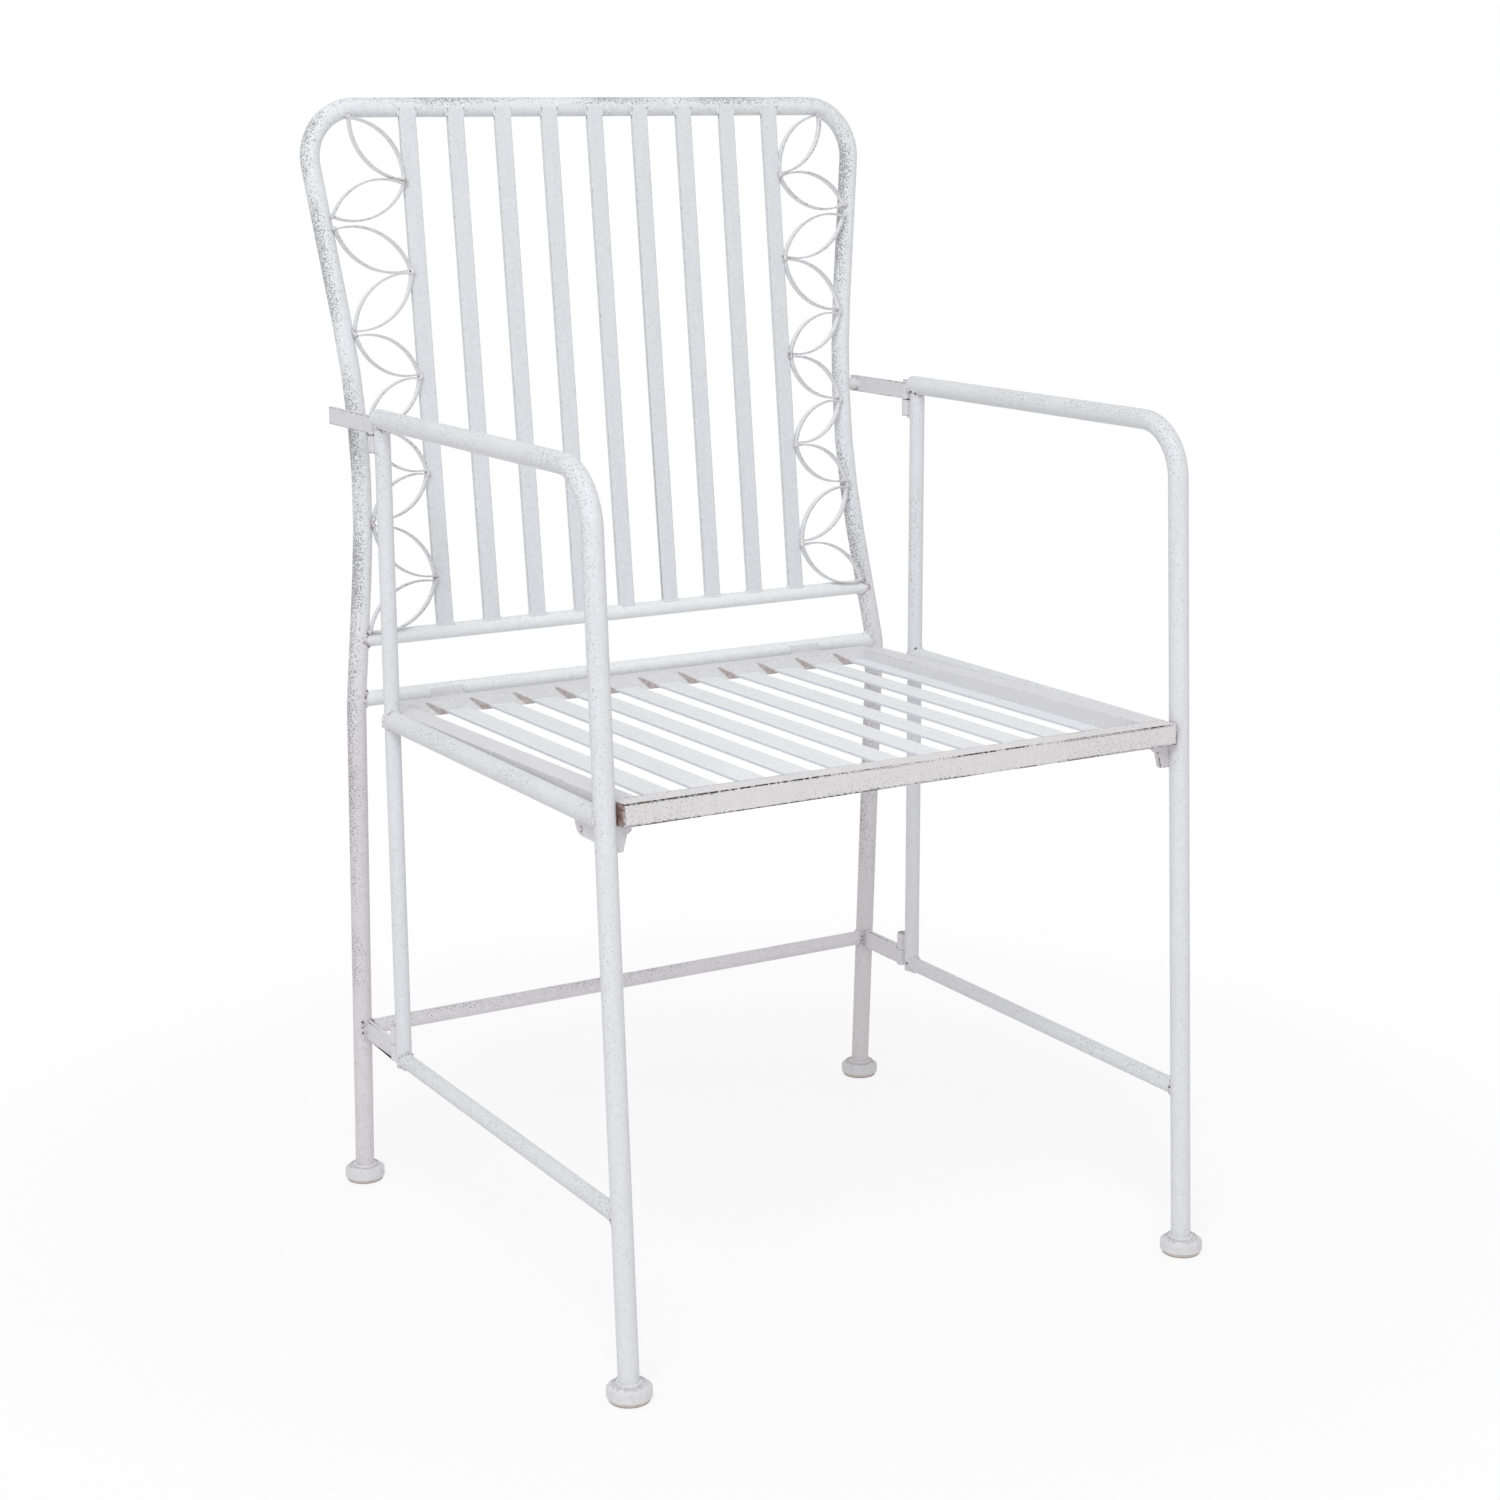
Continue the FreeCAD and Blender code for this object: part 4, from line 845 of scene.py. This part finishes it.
for node, finish, slot, edge, rim in (("seat_front_bar", rim_paint, "rim_paint", 0.0006, 0.0022),
                                      ("seat_rear_bar", rim_side_paint, "rim_paint", 0.0006, 0.0010),
                                      ("seat_side_bar_left", rim_side_paint, "rim_paint", 0.0005, 0.0003),
                                      ("seat_side_bar_right", rim_side_paint, "rim_paint", 0.0005, 0.0003),
                                      ("seat_slats", seat_slat_paint, "seat_slat_paint", 0.0003, 0.0006),
                                      ("seat_strap_left", rim_side_paint, "hinge_paint", 0.0003, 0.0003),
                                      ("seat_strap_right", rim_side_paint, "hinge_paint", 0.0003, 0.0003)):
    piece = softened(merged_copy(node, node + "_painted"), edge, rim, finish)
    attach(piece, "seat")
    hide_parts(node)
    if node == "seat_front_bar":
        second_finish(piece, rusted,
                      lambda face: abs(face.center.x) > BAR_END and abs(face.normal.x) > END_FACING)
    # The front of the rear bar takes the band of primer and painted shade.
    if node == "seat_rear_bar":
        second_finish(piece, rear_wall_paint, lambda face: face.normal.y < -FRONT_FACING)
    # The slot walls take the painted shade.
    if node == "seat_slats":
        second_finish(piece, slot_wall_shade_paint, lambda face: abs(face.normal.x) > SLOT_FACING)


# Seat rests and rail gussets: plates of 5 and 4 mm steel welded inside the front legs,
# where the front bar of the seat comes down, and under the front end of each seat rail.
LEG_WELD_OUT = 0.0012

for side, sign in (("left", 1), ("right", -1)):
    for node in (f"seat_rest_{side}", f"rail_gusset_{side}"):
        piece = softened(merged_copy(node, node + "_painted"), edge=0.0006, rim=0.0006, finish=hinge_paint)
        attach(piece, f"{side}_frame")
        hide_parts(node)
    low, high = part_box(f"seat_rest_{side}")
    beside_leg = sign * (HALF_SPACING - TUBE_RADIUS + LEG_WELD_OUT)
    rest_seams = [seam_along((beside_leg, y, low[2] + SEAM_MARGIN), (beside_leg, y, high[2] - SEAM_MARGIN))
                  for y in (low[1], high[1])]
    weld(f"seat_rest_welds_{side}", f"{side}_frame", rest_seams, PLATE_BEAD)


# Feet: pressed steel caps welded over the ends of the legs, each on a pale plastic pad.
# The top of a cap is a low dome over an upright rim, so the machined cap's top is lowered a little,
# and its shoulder widened.
CAP_SHOULDER = (0.0112, 0.0125)
SHOULDER_DROP = 0.0008
SHOULDER_SPREAD = 1.13
CAP_TOP = (0.0145, 0.0160)
CAP_TOP_DROP = 0.0022
NECK_RISE = 0.0002
NECK_PROUD = 0.0006
NECK_PLACES = 36
FOOT_BEAD = 0.0017
PAD_EDGE = 0.0006

foot_paint = painted("foot_paint", (0.76, 0.76, 0.765, 1.0), specks=0.35, chips=0.25)

CREAM = (0.74, 0.66, 0.60, 1.0)
SCUFFED = (0.40, 0.33, 0.29, 1.0)
PAD_BOTTOM_DARK = (0.14, 0.11, 0.10, 1.0)
MOST_SCUFFED = 0.35
SCRATCH_DEPTH = 0.0002

glide = bpy.data.materials.new("pad_plastic")
glide.use_nodes = True
tree = glide.node_tree
coat = tree.nodes["Principled BSDF"]
place = object_place(tree)
# The pad turns darker towards its bottom edge.
bottom_darkening = ramp(tree, split(tree, place)["Z"], 0.0004, 0.0016, 0.8, 0.0)
scuff_noise = noise(tree, place, 260.0, detail=5.0, roughness=0.6)
scuffs = ramp(tree, scuff_noise, 0.45, 0.75, 0.0, MOST_SCUFFED)
tree.links.new(tint(tree, bottom_darkening, tint(tree, scuffs, CREAM, SCUFFED), PAD_BOTTOM_DARK), coat.inputs["Base Color"])
tree.links.new(ramp(tree, scuffs, 0.0, MOST_SCUFFED, 0.42, 0.65), coat.inputs["Roughness"])
tree.links.new(bumps(tree, scuffs, SCRATCH_DEPTH), coat.inputs["Normal"])


def moved_ring(piece, node, heights, drop, spread):
    """Lower and widen the corners of a cap between two heights, about the cap's own axis."""
    bpy.ops.mesh.select_mode(type="VERT")
    bpy.ops.mesh.select_all(action="DESELECT")
    bpy.ops.object.mode_set(mode="OBJECT")
    for corner in piece.data.vertices:
        corner.select = heights[0] < corner.co.z < heights[1]
    bpy.ops.object.mode_set(mode="EDIT")
    low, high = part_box(node)
    bpy.ops.transform.translate(value=(0.0, 0.0, -drop))
    bpy.ops.transform.resize(value=(spread, spread, 1.0),
                             center_override=((low[0] + high[0]) / 2, (low[1] + high[1]) / 2, 0.0))


rear_necks = []
for side, sign in (("left", 1), ("right", -1)):
    for node, body in ((f"front_foot_{side}", f"{side}_frame"), (f"rear_foot_{side}", "back_frame")):
        cap = merged_copy(node, node + "_painted")
        moved_ring(cap, node, CAP_TOP, CAP_TOP_DROP, spread=1.0)
        moved_ring(cap, node, CAP_SHOULDER, SHOULDER_DROP, SHOULDER_SPREAD)
        piece = softened(cap, edge=0.0006, rim=0.0008, finish=foot_paint)
        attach(piece, body)
        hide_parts(node)
        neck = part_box(node)[1][2] - CAP_TOP_DROP + NECK_RISE
        if body == "back_frame":
            middle = along(BACK_FRAME[0], BACK_FRAME[1], neck) * Vector((sign, 1, 1))
        else:
            middle = Vector((sign * HALF_SPACING, FRONT_FOOT + neck * LEG_SLOPE, neck))
        ring = [middle + Vector((math.cos(turn), math.sin(turn), 0.0)) * (TUBE_RADIUS + NECK_PROUD)
                for turn in (2 * math.pi * share / NECK_PLACES for share in range(NECK_PLACES))]
        if body == "back_frame":
            rear_necks.append(ring)
        else:
            weld(f"front_foot_weld_{side}", body, [ring], FOOT_BEAD, foot_paint, worn=0.2)
    pad = softened(merged_copy(f"front_pad_{side}", f"front_pad_{side}_worn"), PAD_EDGE, 0.0, glide)
    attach(pad, f"{side}_frame")
    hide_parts(f"front_pad_{side}")
weld("rear_foot_welds", "back_frame", rear_necks, FOOT_BEAD, foot_paint, worn=0.2)
pads = softened(merged_copy("rear_pads", "rear_pads_worn"), PAD_EDGE, 0.0, glide)
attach(pads, "back_frame")
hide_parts("rear_pads")


low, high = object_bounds()
